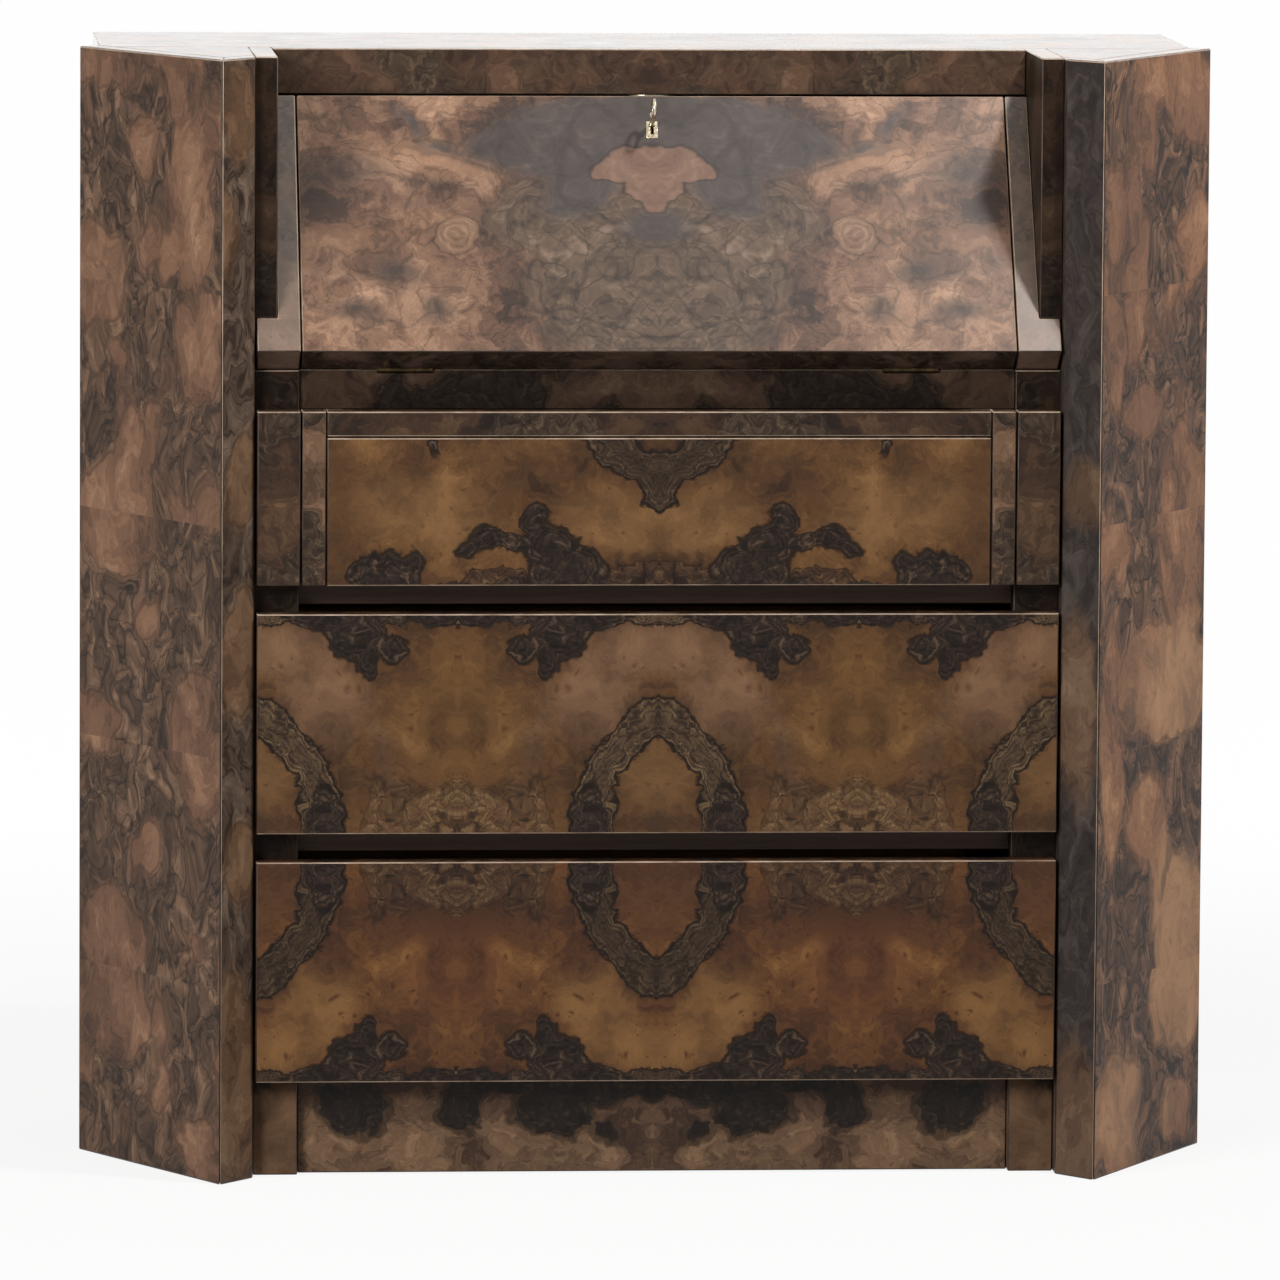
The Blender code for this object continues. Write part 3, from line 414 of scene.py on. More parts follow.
middleDrawer = {
    **frontLeaf, "origin": (0, -0.1895, 0.3159), "leafMm": 182.35, "seed": 0.0, "look": drawerLook,
    "figures": drawerLeaf,
    "washes": [
        ("#8d6c54", 18, 0.65, [(0, 168, 70, 22, 0), (55, 132, 34, 48, 35)]),
        ("#7b5832", 26, 0.55, [(182, 112, 46, 66, 0)]),
        ("#55443b", 20, 0.4, [(112, 86, 8, 52, 14)]),
        ("#80603f", 16, 0.6, [(0, 50, 30, 30, 0)]),
        ("#352a20", 12, 0.9, [(0, 10, 12, 12, 0)]),
    ],
}
bottomDrawer = {
    **middleDrawer, "up": (0, 0, -1), "origin": (0, -0.1895, 0.2902),
    "look": {**drawerLook, "knotMm": 16, "knot": 0.85,
             "field": ("#35221a", "#573925", "#6e4a2d", "#8c643c")},
    "figures": {**drawerLeaf, "band": {**drawerLeaf["band"], "tints": darkBand},
                "burl": {**drawerLeaf["burl"], "tints": darkBurl}},
    "washes": [
        ("#906a42", 14, 0.65, [(0, 172, 62, 20, 0), (50, 140, 34, 46, 35)]),
        ("#6f452d", 24, 0.6, [(182, 92, 48, 50, 0)]),
        ("#33221b", 26, 0.75, [(182, 40, 80, 36, 0)]),
        ("#4a3325", 20, 0.6, [(0, 10, 40, 50, 0)]),
    ],
}
topDrawer = {
    **frontLeaf, "origin": (0, -0.1895, 0.5422), "seed": 0.31, "look": {**drawerLook, "shade": 0.05},
    "figures": {
        "band": {"blobs": [(0, 138, 66, 48, 0), (-8, 106, 34, 38, 0)], "holes": [(0, 146, 30, 20, 0)],
                 "tints": darkBand},
        "burl": {"blobs": [(0, -2, 60, 24, 0), (150, 2, 30, 15, 0)], "tints": darkBurl, "rim": 0.75,
                 "softMm": 5.0},
        "cluster": {"blobs": [
            (82, 12, 38, 23, 0), (98, 36, 24, 21, 0), (110, 60, 12, 14, -20), (134, 40, 20, 9, 0),
            (158, 44, 16, 11, 20), (172, 36, 8, 7, 0), (258, 8, 26, 21, -20), (236, 8, 22, 19, 0),
            (222, 22, 8, 8, 0), (202, 130, 6, 8, 0), (150, 0, 70, 4, 0), (0, -3, 90, 5, 0)]},
    },
    "washes": [
        ("#8f6a45", 20, 0.6, [(0, 52, 80, 24, 0), (40, 62, 46, 22, 20), (215, 70, 60, 30, 10)]),
        ("#4a3322", 22, 0.6, [(130, 92, 12, 50, 35), (290, 60, 14, 90, 0)]),
    ],
}
slantUp, slantIn = (0, 0.534352, 0.845262), (0, 0.845262, -0.534352)
fallFigure = {
    **frontLeaf, "up": slantUp, "through": slantIn, "origin": (0, -0.1909, 0.7552), "seed": 0.77,
    "look": {
        "field": ("#3e2e26", "#6e5140", "#8c6b55", "#b28c71"), "ink": "#1e1510", "contrast": 1.4,
        "shadeMm": 20, "swayReachMm": 11, "curlMm": 14, "curlReachMm": 3.0, "swirlMm": 32, "veinMm": 42,
        "fieldVein": 0.75, "contour": 0.36, "contourMm": 70, "mottleMm": 85, "flame": 0.03,
        "linePitchMm": 6.0, "lineShare": 0.03, "lineReachMm": 50, "lineSway": 12.0,
        "roughness": 0.38, "specular": 0.27, "coat": 0.18,
    },
    "figures": {
        "band": {"blobs": [(0, 70, 125, 95, 0), (100, 142, 62, 40, -20)], "blendMm": 14, "rim": 0.2,
                 "softMm": 30.0, "calm": 0.9, "tints": ("#392c24", "#524236", "#665343", "#857060")},
        "cluster": {"blobs": [
            (0, 242, 132, 26, 0), (0, 216, 70, 18, 0), (112, 218, 64, 30, -12), (70, 200, 60, 26, -15),
            (66, 168, 48, 30, -35), (0, 128, 40, 20, 0), (190, 208, 26, 6, 0), (222, 236, 7, 28, -35)],
            "blendMm": 12, "rim": 0.25, "softMm": 22.0, "calm": 0.8, "threaded": False,
            "tints": ("#332b28", "#433a36", "#4f4540", "#63574f")},
        "island": {"blobs": [(0, 192, 46, 21, 0), (40, 183, 19, 10, 0), (0, 168, 26, 14, 0),
                             (0, 153, 10, 11, 0)]},
        "burl": {"blobs": [(181, 119, 19, 18, 0)], "rim": 0.45, "rimMm": 1.4, "softMm": 3.0, "lines": 3.5,
                 "threaded": False, "tints": ("#5a4435", "#735744", "#80634e", "#957660")},
    },
    "washes": [
        ("#a27b5e", 26, 0.5, [(205, 205, 60, 14, 8), (260, 120, 70, 20, -12)]),
        ("#574237", 24, 0.5, [(240, 160, 60, 10, 14), (290, 90, 50, 14, 10)]),
        ("#3a302b", 17, 0.95, [(298, 186, 44, 18, 0), (240, 84, 22, 16, 20), (273, 41, 24, 9, 10),
                               (199, 41, 12, 10, 0), (87, 18, 20, 14, 0), (205, 173, 26, 4, 10)]),
    ],
}
wingLeft = {
    "across": (0.4955, -0.8686, 0), "up": (0, 0, 1), "through": (0.8686, 0.4955, 0),
    "origin": (-0.5207, -0.0077, 0), "seed": 1.3, "courseMm": 210, "courseStartMm": 178,
    "look": {
        "field": ("#4b372b", "#775743", "#8f6b54", "#b08a6d"), "specular": 0.07, "contrast": 1.1,
        "swayMm": 75, "swayReachMm": 34, "curlMm": 22, "curlReachMm": 9, "stretch": 1.5, "shade": 0.05,
        "swirlMm": 34, "mottleMm": 55, "flame": 0.03, "lineShare": 0.03, "knot": 0.25,
        "vein": 0.6, "veinMm": 34, "contour": 0.6, "contours": 8, "contourMm": 56,
    },
    "figures": {"cluster": {"wildMm": 120, "level": 0.58, "holes": [
        (45, 1003, 58, 20, 0), (115, 940, 24, 30, 0), (205, 850, 38, 60, -10), (30, 815, 48, 42, 0),
        (208, 758, 45, 52, 0), (132, 680, 18, 28, 0), (65, 592, 68, 50, 0), (228, 610, 18, 26, 0),
        (118, 502, 18, 16, 0), (205, 400, 48, 72, 0), (28, 402, 42, 26, 0), (113, 290, 20, 22, 0),
        (60, 212, 62, 35, 0), (62, 140, 66, 42, 0), (210, 213, 19, 17, 0), (215, 22, 32, 40, 0),
        (140, 70, 16, 18, 0)],
        "rim": 0.35, "softMm": 14.0, "tints": ("#291e18", "#513e31", "#715745", "#9d7d63")}},
}
wingRight = {
    **wingLeft, "across": (-0.4955, -0.8686, 0), "through": (-0.8686, 0.4955, 0),
    "origin": (0.5207, -0.0077, 0), "seed": 1.9,
    "look": {**wingLeft["look"], "contrast": 1.3, "contour": 0.85, "vein": 0.7,
             "field": ("#5a3e2e", "#976b4e", "#b38160", "#d29f79")},
    "figures": {"cluster": {"wildMm": 120, "level": 0.6, "holes": [
        (50, 985, 75, 42, 20), (148, 925, 20, 16, 0), (30, 850, 42, 45, 0), (224, 880, 26, 46, 0),
        (222, 755, 26, 56, 0), (170, 800, 26, 60, 0), (150, 690, 50, 26, 0), (50, 580, 62, 100, 0),
        (212, 395, 32, 110, 0), (95, 445, 100, 54, 0), (135, 318, 38, 40, 0), (45, 190, 60, 88, 0),
        (195, 55, 54, 58, 0), (60, 40, 34, 26, 0)],
        "rim": 0.3, "softMm": 14.0, "tints": ("#2b1e17", "#5d4434", "#85624b", "#b58a6c")}},
    "washes": [
        # painted light: the pale wash lightens the lower part of the wing, where more light falls
        ("#dcab82", 30, 0.7, [(60, 200, 80, 110, 0), (150, 60, 90, 60, 0), (60, 440, 90, 60, 0)]),
        ("#64463a", 40, 0.45, [(150, 700, 90, 60, 0), (200, 850, 60, 120, 0), (60, 930, 100, 60, 0)]),
    ],
}


# boards whose burr runs wild: returns, rails, posts, plinth, cheeks, top and sides

def wildCluster(rim, softMm, tints, level=0.5):
    return {"cluster": {"wildMm": 75, "level": level, "rim": rim, "softMm": softMm, "tints": tints}}


softTints = ("#211812", "#382c23", "#4a3c30", "#6d5844")
wildFront = {
    **frontLeaf, "origin": (0, 0, 0), "seed": 2.1, "figures": wildCluster(0.4, 8.0, softTints),
    "look": {"field": ("#3b2a1e", "#573f2c", "#6a4e37", "#846449"), "swayReachMm": 20, "flame": 0.035},
}
topRail = {
    **wildFront, "figures": wildCluster(0.12, 24.0, softTints),
    "look": {**wildFront["look"], "field": ("#37281f", "#523c2f", "#644b3a", "#7c604d"), "vein": 0.25,
             "lineShare": 0.03},
}
railFront = {
    **wildFront, "seed": 2.6,
    "look": {**wildFront["look"], "field": ("#261b15", "#3c2b21", "#4d392a", "#6b523c")},
}
loperFront = {
    **wildFront, "seed": 4.9,
    "look": {**wildFront["look"], "field": ("#503d2f", "#755a46", "#8a6c55", "#a28268")},
}
returnLeft = {
    "across": (0.628, 0.778, 0), "up": (0, 0, 1), "through": (-0.778, 0.628, 0),
    "origin": (-0.3981, -0.2223, 0), "seed": 2.7,
    "look": {**wingLeft["look"], "field": ("#4f3c2f", "#785c46", "#8d6f56", "#a98a6e"), "swayMm": 40,
             "swayReachMm": 20, "contour": 0.25},
    "figures": {"cluster": {"holes": [
        (25, 970, 22, 40, 0), (5, 860, 16, 50, 0), (30, 640, 26, 46, 0), (28, 480, 28, 58, 0),
        (30, 291, 26, 36, 0), (20, 95, 42, 98, 0)],
        "rim": 0.3, "softMm": 12.0, "tints": ("#382d27", "#5b4b40", "#705e51", "#937e6c")}},
}
returnRight = {
    **returnLeft, "across": (-0.628, 0.778, 0), "through": (0.778, 0.628, 0),
    "origin": (0.3981, -0.2223, 0), "seed": 3.1,
    "look": {**returnLeft["look"], "field": ("#4a3a30", "#6b5443", "#7d6450", "#967c65"), "vein": 0.3,
             "contour": 0.1},
    "figures": {"cluster": {"holes": [
        (20, 628, 26, 24, 0), (30, 430, 24, 84, 0), (26, 52, 32, 66, 0)],
        "rim": 0.12, "softMm": 24.0, "tints": ("#2f2a29", "#3f3836", "#4d4541", "#625851")}},
}
plinthFigure = {
    **wildFront, "origin": (0, -0.1532, 0), "seed": 2.4,
    "look": {**wildFront["look"], "field": ("#46342a", "#6d5442", "#84674f", "#9f7f62"), "shadeMm": 40,
             "shade": 0.12, "contrast": 1.5},
    "figures": {"cluster": {"blobs": [
        (0, 78, 120, 14, 0), (87, 56, 40, 24, 0), (172, 62, 22, 32, 0), (275, 60, 38, 28, 0),
        (130, 80, 60, 12, 0), (40, 40, 14, 12, 0)],
        "rim": 0.4, "softMm": 10.0, "tints": ("#120e0c", "#1f1814", "#2e251f", "#4b3d32")}},
}
cheekFigure = {
    **wildFront, "seed": 2.9, "up": slantUp, "through": slantIn,
    "look": {"field": ("#513d31", "#65503f", "#725b4a", "#84695a"), "specular": 0.6, "coat": 0.4,
             "coatRoughness": 0.3},
    "figures": wildCluster(0.2, 14.0, ("#36291f", "#47372b", "#544336", "#685545"), 0.44),
}
darkFront = {
    **wildFront, "seed": 3.7,
    "look": {"field": ("#211813", "#33251c", "#403024", "#524031"), "swayReachMm": 20, "specular": 0.06,
             "coat": 0.0},
    "figures": wildCluster(0.4, 8.0, ("#130e0b", "#201813", "#2a211a", "#3d3127")),
}
fallEdge = {
    **wildFront, "up": slantIn, "through": slantUp, "origin": fallFigure["origin"], "seed": 6.6,
    "look": {"field": ("#3c3029", "#58463c", "#6a554a", "#836c5e"), "swayReachMm": 20},
}
recessFront = {
    **darkFront, "seed": 6.1,
    "look": {**darkFront["look"], "field": ("#31251e", "#46352a", "#544234", "#685444")},
}
# front posts: the dark field is painted shade, where they show in the recess and the gaps between
# drawers; a hole in the clusters and a pale wash give the foot, which stands in light, its lit wood
litPostFoot = [(345, 35, 70, 50, 0)]
shadedPostFront = {
    **darkFront, "origin": (0, -0.1652, 0), "seed": 5.3,
    "figures": {"cluster": {**darkFront["figures"]["cluster"], "holes": litPostFoot}},
    "washes": [("#85674f", 14, 1.0, litPostFoot)],
}
writingTop = {
    **wildFront, "up": (0, 1, 0), "through": (0, 0, 1), "seed": 7.2,
    "look": {**wildFront["look"], "field": fallFigure["look"]["field"]},
}
wildSide = {**wildFront, "across": (0, 1, 0), "through": (1, 0, 0), "seed": 3.4, "mirrored": False}
wildTop = {**wildFront, "up": (0, 1, 0), "through": (0, 0, 1), "seed": 4.2, "mirrored": False,
           "look": {"coat": 0.36, "coatRoughness": 0.2}}

panels = {
    "middleDrawer": middleDrawer, "bottomDrawer": bottomDrawer, "topDrawer": topDrawer,
    "fall": fallFigure, "wingLeft": wingLeft, "wingRight": wingRight, "returnLeft": returnLeft,
    "returnRight": returnRight, "topRail": topRail, "rail": railFront, "loper": loperFront,
    "post": shadedPostFront, "dark": darkFront, "recess": recessFront, "fallEdge": fallEdge,
    "writingTop": writingTop, "cheek": cheekFigure, "plinth": plinthFigure, "side": wildSide,
    "top": wildTop,
}
burr = {name: burrWalnut("burrWalnut" + name[0].upper() + name[1:], panel)
        for name, panel in panels.items()}
print("burr walnut mixed,", len(burr), "leaves")

# straight-grained woods: long fine streaks, a duller surface than the veneer

woods = {
    "darkWalnut": {"tints": [(0.3, "#3a2a21"), (0.5, "#533c30"), (0.7, "#6b5140")],
                   "along": (0.06, 0.06, 1.0), "roughness": 0.5, "streakMm": 3.0},
    "walnutShelf": {"tints": [(0.3, "#3a2a20"), (0.5, "#50392b"), (0.7, "#664a38")],
                    "along": (0.06, 1.0, 1.0), "roughness": 0.5, "streakMm": 4.0},
    "beechLining": {"tints": [(0.3, "#a98459"), (0.5, "#bd9a6e"), (0.7, "#cbab80")],
                    "along": (1.0, 0.06, 1.0), "roughness": 0.6, "streakMm": 3.0},
    "backPly": {"tints": [(0.3, "#80613f"), (0.5, "#977650"), (0.7, "#a98860")],
                "along": (1.0, 1.0, 0.05), "roughness": 0.65, "streakMm": 6.0},
}
streakLook = {"broadTimes": 9, "bump": 0.15, "reliefMm": 0.3, "specular": 0.3}


def straightWood(name, look):
    material, tree = newMaterial(name)
    place = add(tree, "TexCoord").outputs["Object"]
    drawn = add(tree, "Mapping", {"Vector": place, "Scale": look["along"]})
    streaks = add(tree, "TexNoise", {"Vector": drawn, "Scale": 1 / (look["streakMm"] * mm),
                                     "Detail": 4.0, "Roughness": 0.6})
    broadMm = look["streakMm"] * streakLook["broadTimes"]
    broad = add(tree, "TexNoise", {"Vector": drawn, "Scale": 1 / (broadMm * mm), "Detail": 2.0})
    tone = add(tree, "Math", {0: broad, 1: streaks})
    tone = add(tree, "Math", {0: tone, 1: 0.5}, operation="MULTIPLY")
    tint = add(tree, "ValToRGB", {"Fac": tone}, stops=look["tints"])
    relief = add(tree, "Bump", {"Strength": streakLook["bump"], "Distance": streakLook["reliefMm"] * mm,
                                "Height": streaks})
    add(tree, "OutputMaterial", {"Surface": add(tree, "BsdfPrincipled", {
        "Base Color": tint, "Normal": relief, "Roughness": look["roughness"],
        "Specular IOR Level": streakLook["specular"]})})
    return material


wood = {name: straightWood(name, look) for name, look in woods.items()}

# metals: polished brass fittings gone a little warm, and a dull steel lock

metals = {
    "polishedBrass": {"tints": [(0.3, "#b3a486"), (0.7, "#dcd2bd")], "roughness": 0.22, "cloudMm": 4.0},
    # the hinge brass is darkened as painted shade, for hinges that sit in the shade under the fall
    "shadeDarkBrass": {"tints": [(0.3, "#2b2218"), (0.7, "#4d3f2a")], "roughness": 0.42, "cloudMm": 5.0},
    "lockSteel": {"tints": [(0.3, "#7d7c79"), (0.7, "#9c9a96")], "roughness": 0.38, "cloudMm": 3.0},
}
tarnish = (-0.06, 0.10)    # how far the roughness swings with the clouds


def metal(name, look):
    material, tree = newMaterial(name)
    place = add(tree, "TexCoord").outputs["Object"]
    cloud = add(tree, "TexNoise", {"Vector": place, "Scale": 1 / (look["cloudMm"] * mm), "Detail": 4.0})
    tint = add(tree, "ValToRGB", {"Fac": cloud}, stops=look["tints"])
    rough = add(tree, "MapRange", {"Value": cloud,
                                   "To Min": look["roughness"] + tarnish[0],
                                   "To Max": look["roughness"] + tarnish[1]})
    add(tree, "OutputMaterial", {"Surface": add(tree, "BsdfPrincipled", {
        "Base Color": tint, "Roughness": rough, "Metallic": 1.0})})
    return material


fittings = {name: metal(name, look) for name, look in metals.items()}

# rounded arrises: pale where they face up, a painted highlight of light from above, and pale too on the
# wings' front edges and the drawers' lower edges; darker elsewhere

arrisLooks = {
    # the pale finish: on arrises that face up it is a painted highlight
    "paleArris": {"tints": [(0.3, "#7d6856"), (0.5, "#a8917c"), (0.7, "#c6b09b")], "patchMm": 30,
                    "roughness": 0.4, "specular": 0.4},
    "darkArris": {"tints": [(0.3, "#2a1f18"), (0.5, "#3d2e23"), (0.7, "#5a4737")], "patchMm": 30,
                  "roughness": 0.4, "specular": 0.3},
}


def arrisWood(name, look):
    material, tree = newMaterial(name)
    place = add(tree, "TexCoord").outputs["Object"]
    arrisMottle = add(tree, "TexNoise", {"Vector": place, "Scale": 1 / (look["patchMm"] * mm), "Detail": 5.0,
                                  "Roughness": 0.7})
    tint = add(tree, "ValToRGB", {"Fac": arrisMottle}, stops=look["tints"])
    add(tree, "OutputMaterial", {"Surface": add(tree, "BsdfPrincipled", {
        "Base Color": tint, "Roughness": look["roughness"], "Specular IOR Level": look["specular"]})})
    return material


arrises = {name: arrisWood(name, look) for name, look in arrisLooks.items()}

# which finish each board shows, and the record's body that it moves with


def bothSides(stem):
    return [stem + "_L", stem + "_R"]


finishes = {
    "middleDrawer": ["drawer_middle_front"],
    "bottomDrawer": ["drawer_bottom_front"],
    "topDrawer": ["drawer_top_front"],
    "fall": ["fall_panel"],
    "wingLeft": ["wing_panel_L"],
    "wingRight": ["wing_panel_R"],
    "returnLeft": ["wing_return_L"],
    "returnRight": ["wing_return_R"],
    "topRail": ["top_rail"],
    "rail": ["drawer_rail", *bothSides("row_block")],
    "loper": bothSides("loper"),
    "post": bothSides("front_post"),
    "dark": bothSides("inner_side"),
    "recess": ["writing_board"],
    "cheek": bothSides("slant_cheek"),
    "plinth": ["plinth_board"],
    "side": bothSides("outer_side"),
    "top": ["top_panel", *bothSides("column_cap")],
    "darkWalnut": ["dust_board_lower", "dust_board_upper", "bottom_board", *bothSides("loper_partition"),
                   "fall_stop"],
    "walnutShelf": ["interior_shelf", *bothSides("interior_divider")],
    "backPly": ["back_panel"],
    "beechLining": ["drawer_%s_%s" % (row, board) for row in ("top", "middle", "bottom")
                    for board in ("side_L", "side_R", "back", "bottom")],
    "polishedBrass": ["strike_plate", "escutcheon"],
    "shadeDarkBrass": [*bothSides("hinge_leaf_fixed"), *bothSides("hinge_leaf_moving")],
    "lockSteel": [*bothSides("hinge_pin"), "lock_case", "lock_bolt"],
}
allFinishes = {**burr, **wood, **fittings}
bodyOf = {node: body for body, nodes in frame["record"]["behaviour"]["bodies"].items() for node in nodes}

# boards keep the frame's shape, with their edges rounded off; arrises that face up carry a painted
# highlight

boardEdges = {
    "easedMm": 0.3,       # rounds off the small chamfer that most boards have
    "sharpMm": 1.5,       # on the wings and returns, which have none
    "metalMm": 0.25,
    "segments": 2,
    "arrisMm": 1.7,       # a face narrower than this belongs to an arris
    "shortestMm": 9.0,    # shorter edges, as in housings and keyholes, stay sharp
    "creaseDegrees": 30,
    "mergeMm": 0.01,
    "flatDegrees": 1,
    "topFrom": 1.015,     # faces above this height, in metres, are the desk's top
    "topFacing": 0.9,     # and the rest say how far a face's normal turns one way
    "paleFacing": 0.3,
    "frontFacing": 0.8,
    "otherFacing": 0.5,
}
sharpBoards = ("wing_panel_L", "wing_panel_R", "wing_return_L", "wing_return_R")
# boards with a second finish, on the faces that look away from the direction given
otherFaces = {
    "fall_panel": ("fallEdge", slantIn),
    "writing_board": ("writingTop", (0, 1, 0)),
    "loper_L": ("side", (0, 1, 0)),
    "loper_R": ("side", (0, 1, 0)),
}
plainFinishes = ("beechLining",)
metalFinishes = ("polishedBrass", "shadeDarkBrass", "lockSteel")


def pieceName(node):
    words = node.split("_")
    return words[0] + "".join(word.capitalize() for word in words[1:])


def finishPiece(name, shape, materials, body, smoothAngle=None):
    mesh = bpy.data.meshes.new(name)
    shape.to_mesh(mesh)
    shape.free()
    for material in materials:
        mesh.materials.append(material)
    if smoothAngle is not None:
        mesh.shade_smooth()
        mesh.set_sharp_from_angle(angle=radians(smoothAngle))
    piece = bpy.data.objects.new(name, mesh)
    scene.collection.objects.link(piece)
    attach(piece, body)
    return piece


def dressBoard(node, finish):
    shape = bmesh.new()
    shape.from_mesh(frame["nodes"][node].data)
    bmesh.ops.remove_doubles(shape, verts=shape.verts, dist=boardEdges["mergeMm"] * mm)
    bmesh.ops.dissolve_limit(shape, angle_limit=radians(boardEdges["flatDegrees"]), verts=shape.verts,
                             edges=shape.edges)
    reach = "metalMm" if finish in metalFinishes else "sharpMm" if node in sharpBoards else "easedMm"
    crease = radians(boardEdges["creaseDegrees"])
    creases = [edge for edge in shape.edges
               if len(edge.link_faces) == 2 and edge.is_convex and edge.calc_face_angle() > crease
               and edge.calc_length() > boardEdges["shortestMm"] * mm]
    bmesh.ops.bevel(shape, geom=creases, offset=boardEdges[reach] * mm, offset_type="OFFSET",
                    affect="EDGES", segments=boardEdges["segments"], profile=0.5, material=-1,
                    clamp_overlap=True)
    shape.normal_update()
    paleFacing, frontFacing = boardEdges["paleFacing"], boardEdges["frontFacing"]
    other, awayFrom = otherFaces.get(node, (None, None))
    for face in shape.faces:
        normal = face.normal
        if normal.z > boardEdges["topFacing"] and face.calc_center_median().z > boardEdges["topFrom"]:
            face.material_index = 3
            continue
        longest = max(edge.calc_length() for edge in face.edges)
        if face.calc_area() < longest * boardEdges["arrisMm"] * mm:
            face.smooth = True
            if finish not in metalFinishes:
                # pale arrises: those facing up are a painted highlight of light from above; the wings'
                # front edges and the drawers' lower edges are pale too
                paleEdge = (normal.z > paleFacing or node in sharpBoards and normal.y < -frontFacing
                          or node.startswith("drawer") and normal.z < -paleFacing)
                face.material_index = 1 if paleEdge else 2
        elif other and abs(normal.dot(Vector(awayFrom))) < boardEdges["otherFacing"]:
            face.material_index = 4
    materials = [allFinishes[finish], *arrises.values(), burr["top"]]
    if other:
        materials.append(allFinishes[other])
    piece = finishPiece(pieceName(node), shape, materials, bodyOf[node])
    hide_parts(node)


for finish, boards in finishes.items():
    for board in boards:
        if finish in plainFinishes:
            mesh = frame["nodes"][board].data
            mesh.materials.clear()
            mesh.materials.append(allFinishes[finish])
        else:
            dressBoard(board, finish)
print("boards finished")

# the key: a turned shank with a collar, a ring bow and a notched bit, in the lock's own tilted frame

lockFrame = Matrix(((1, 0, 0, 0), (0, 0.845262, 0.534352, -0.036482), (0, -0.534352, 0.845262, 0.933356),
                    (0, 0, 0, 1)))
keyLook = {
    "shank": (2.3, -57.3, -13.8),      # radius, outer end and tip along the lock's axis, in mm
    "collars": ((3.1, 1.6, -55.0), (2.9, 1.0, -52.2)),
    "bow": (8.5, 1.8, -65.8),          # ring radius, wire radius and middle
    "bit": (2.0, 7.0, -22.8, 8.5),     # thickness, length, start and reach
    "notch": 2.0,                      # depth, over the middle third of the bit
    "round": 0.3,
    "sides": (24, 16, 48),             # of the shank, of the wire and round the bow
}
smoothDegrees = 40    # turned pieces shade smooth below this angle


def makeKey():
    shape = bmesh.new()
    shankSides, wireSides, bowSteps = keyLook["sides"]
    rings = [keyLook["shank"]]
    rings += [(wide, middle - thick / 2, middle + thick / 2)
              for wide, thick, middle in keyLook["collars"]]
    for wide, start, end in rings:
        made = bmesh.ops.create_cone(shape, cap_ends=True, segments=shankSides, radius1=wide * mm,
                                     radius2=wide * mm, depth=(end - start) * mm)["verts"]
        bmesh.ops.rotate(shape, matrix=Matrix.Rotation(pi / 2, 3, "X"), verts=made)
        bmesh.ops.translate(shape, vec=(0, (start + end) / 2 * mm, 0), verts=made)
        caps = [edge for edge in shape.edges if edge.verts[0] in made and edge.verts[1] in made
                and edge.calc_face_angle(0) > radians(60)]
        bmesh.ops.bevel(shape, geom=caps, offset=keyLook["round"] * mm, offset_type="OFFSET",
                        affect="EDGES", segments=2, profile=0.5, material=-1, clamp_overlap=True)
    ringRadius, wire, middle = keyLook["bow"]
    section = bmesh.ops.create_circle(shape, segments=wireSides, radius=wire * mm)["verts"]
    bmesh.ops.rotate(shape, matrix=Matrix.Rotation(pi / 2, 3, "Y"), verts=section)
    bmesh.ops.rotate(shape, matrix=Matrix.Rotation(pi / 2, 3, "Z"), verts=section)
    bmesh.ops.translate(shape, vec=(0, middle * mm, ringRadius * mm), verts=section)
    edges = [edge for edge in shape.edges if edge.verts[0] in section and edge.verts[1] in section]
    bmesh.ops.spin(shape, geom=edges, cent=(0, middle * mm, 0), axis=(1, 0, 0), angle=2 * pi,
                   steps=bowSteps, use_merge=True)
    thick, length, start, reach = keyLook["bit"]
    bit = bmesh.ops.create_cube(shape, size=1.0)["verts"]
    bmesh.ops.scale(shape, vec=(thick * mm, length * mm, reach * mm), verts=bit)
    bmesh.ops.translate(shape, vec=(0, (start + length / 2) * mm, -reach / 2 * mm), verts=bit)
    foot = [face for face in shape.faces if all(vert in bit for vert in face.verts)
            and face.normal.z < -0.9]
    across = [edge for edge in foot[0].edges if abs((edge.verts[0].co - edge.verts[1].co).y) > 1 * mm]
    bmesh.ops.subdivide_edges(shape, edges=across, cuts=2, use_grid_fill=True)
    shape.faces.ensure_lookup_table()
    middleFoot = [face for face in shape.faces if face.normal.z < -0.9 and len(face.verts) == 4
                  and abs(face.calc_center_median().y - (start + length / 2) * mm) < 0.5 * mm
                  and abs(face.calc_center_median().z + reach * mm) < 0.1 * mm]
    for face in middleFoot:
        bmesh.ops.translate(shape, vec=(0, 0, keyLook["notch"] * mm), verts=face.verts)
    bmesh.ops.remove_doubles(shape, verts=shape.verts, dist=0.005 * mm)
    bmesh.ops.recalc_face_normals(shape, faces=shape.faces)
    bmesh.ops.transform(shape, matrix=lockFrame, verts=shape.verts)
    key = finishPiece("key.turned", shape, (allFinishes["polishedBrass"],), "key",
                      smoothDegrees)
    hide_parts("key")


makeKey()
print("key made")

# slotted countersunk screws in the hinge leaves, three to a leaf

screwLook = {
    "radius": 3.0,        # all in mm
    "head": 0.9,
    "proud": 0.15,
    "slot": 0.8,
    "slotDepth": 0.5,
    "spacing": 16.5,
    "inset": 8.5,         # from the hinge leaf's free edge
    "taper": 0.7,
    "sides": 28,
}
slantFrame = Matrix(((1, 0, 0, 0), (0, 0.845262, 0.534352, -0.161062), (0, -0.534352, 0.845262, 0.7363),
                     (0, 0, 0, 1)))


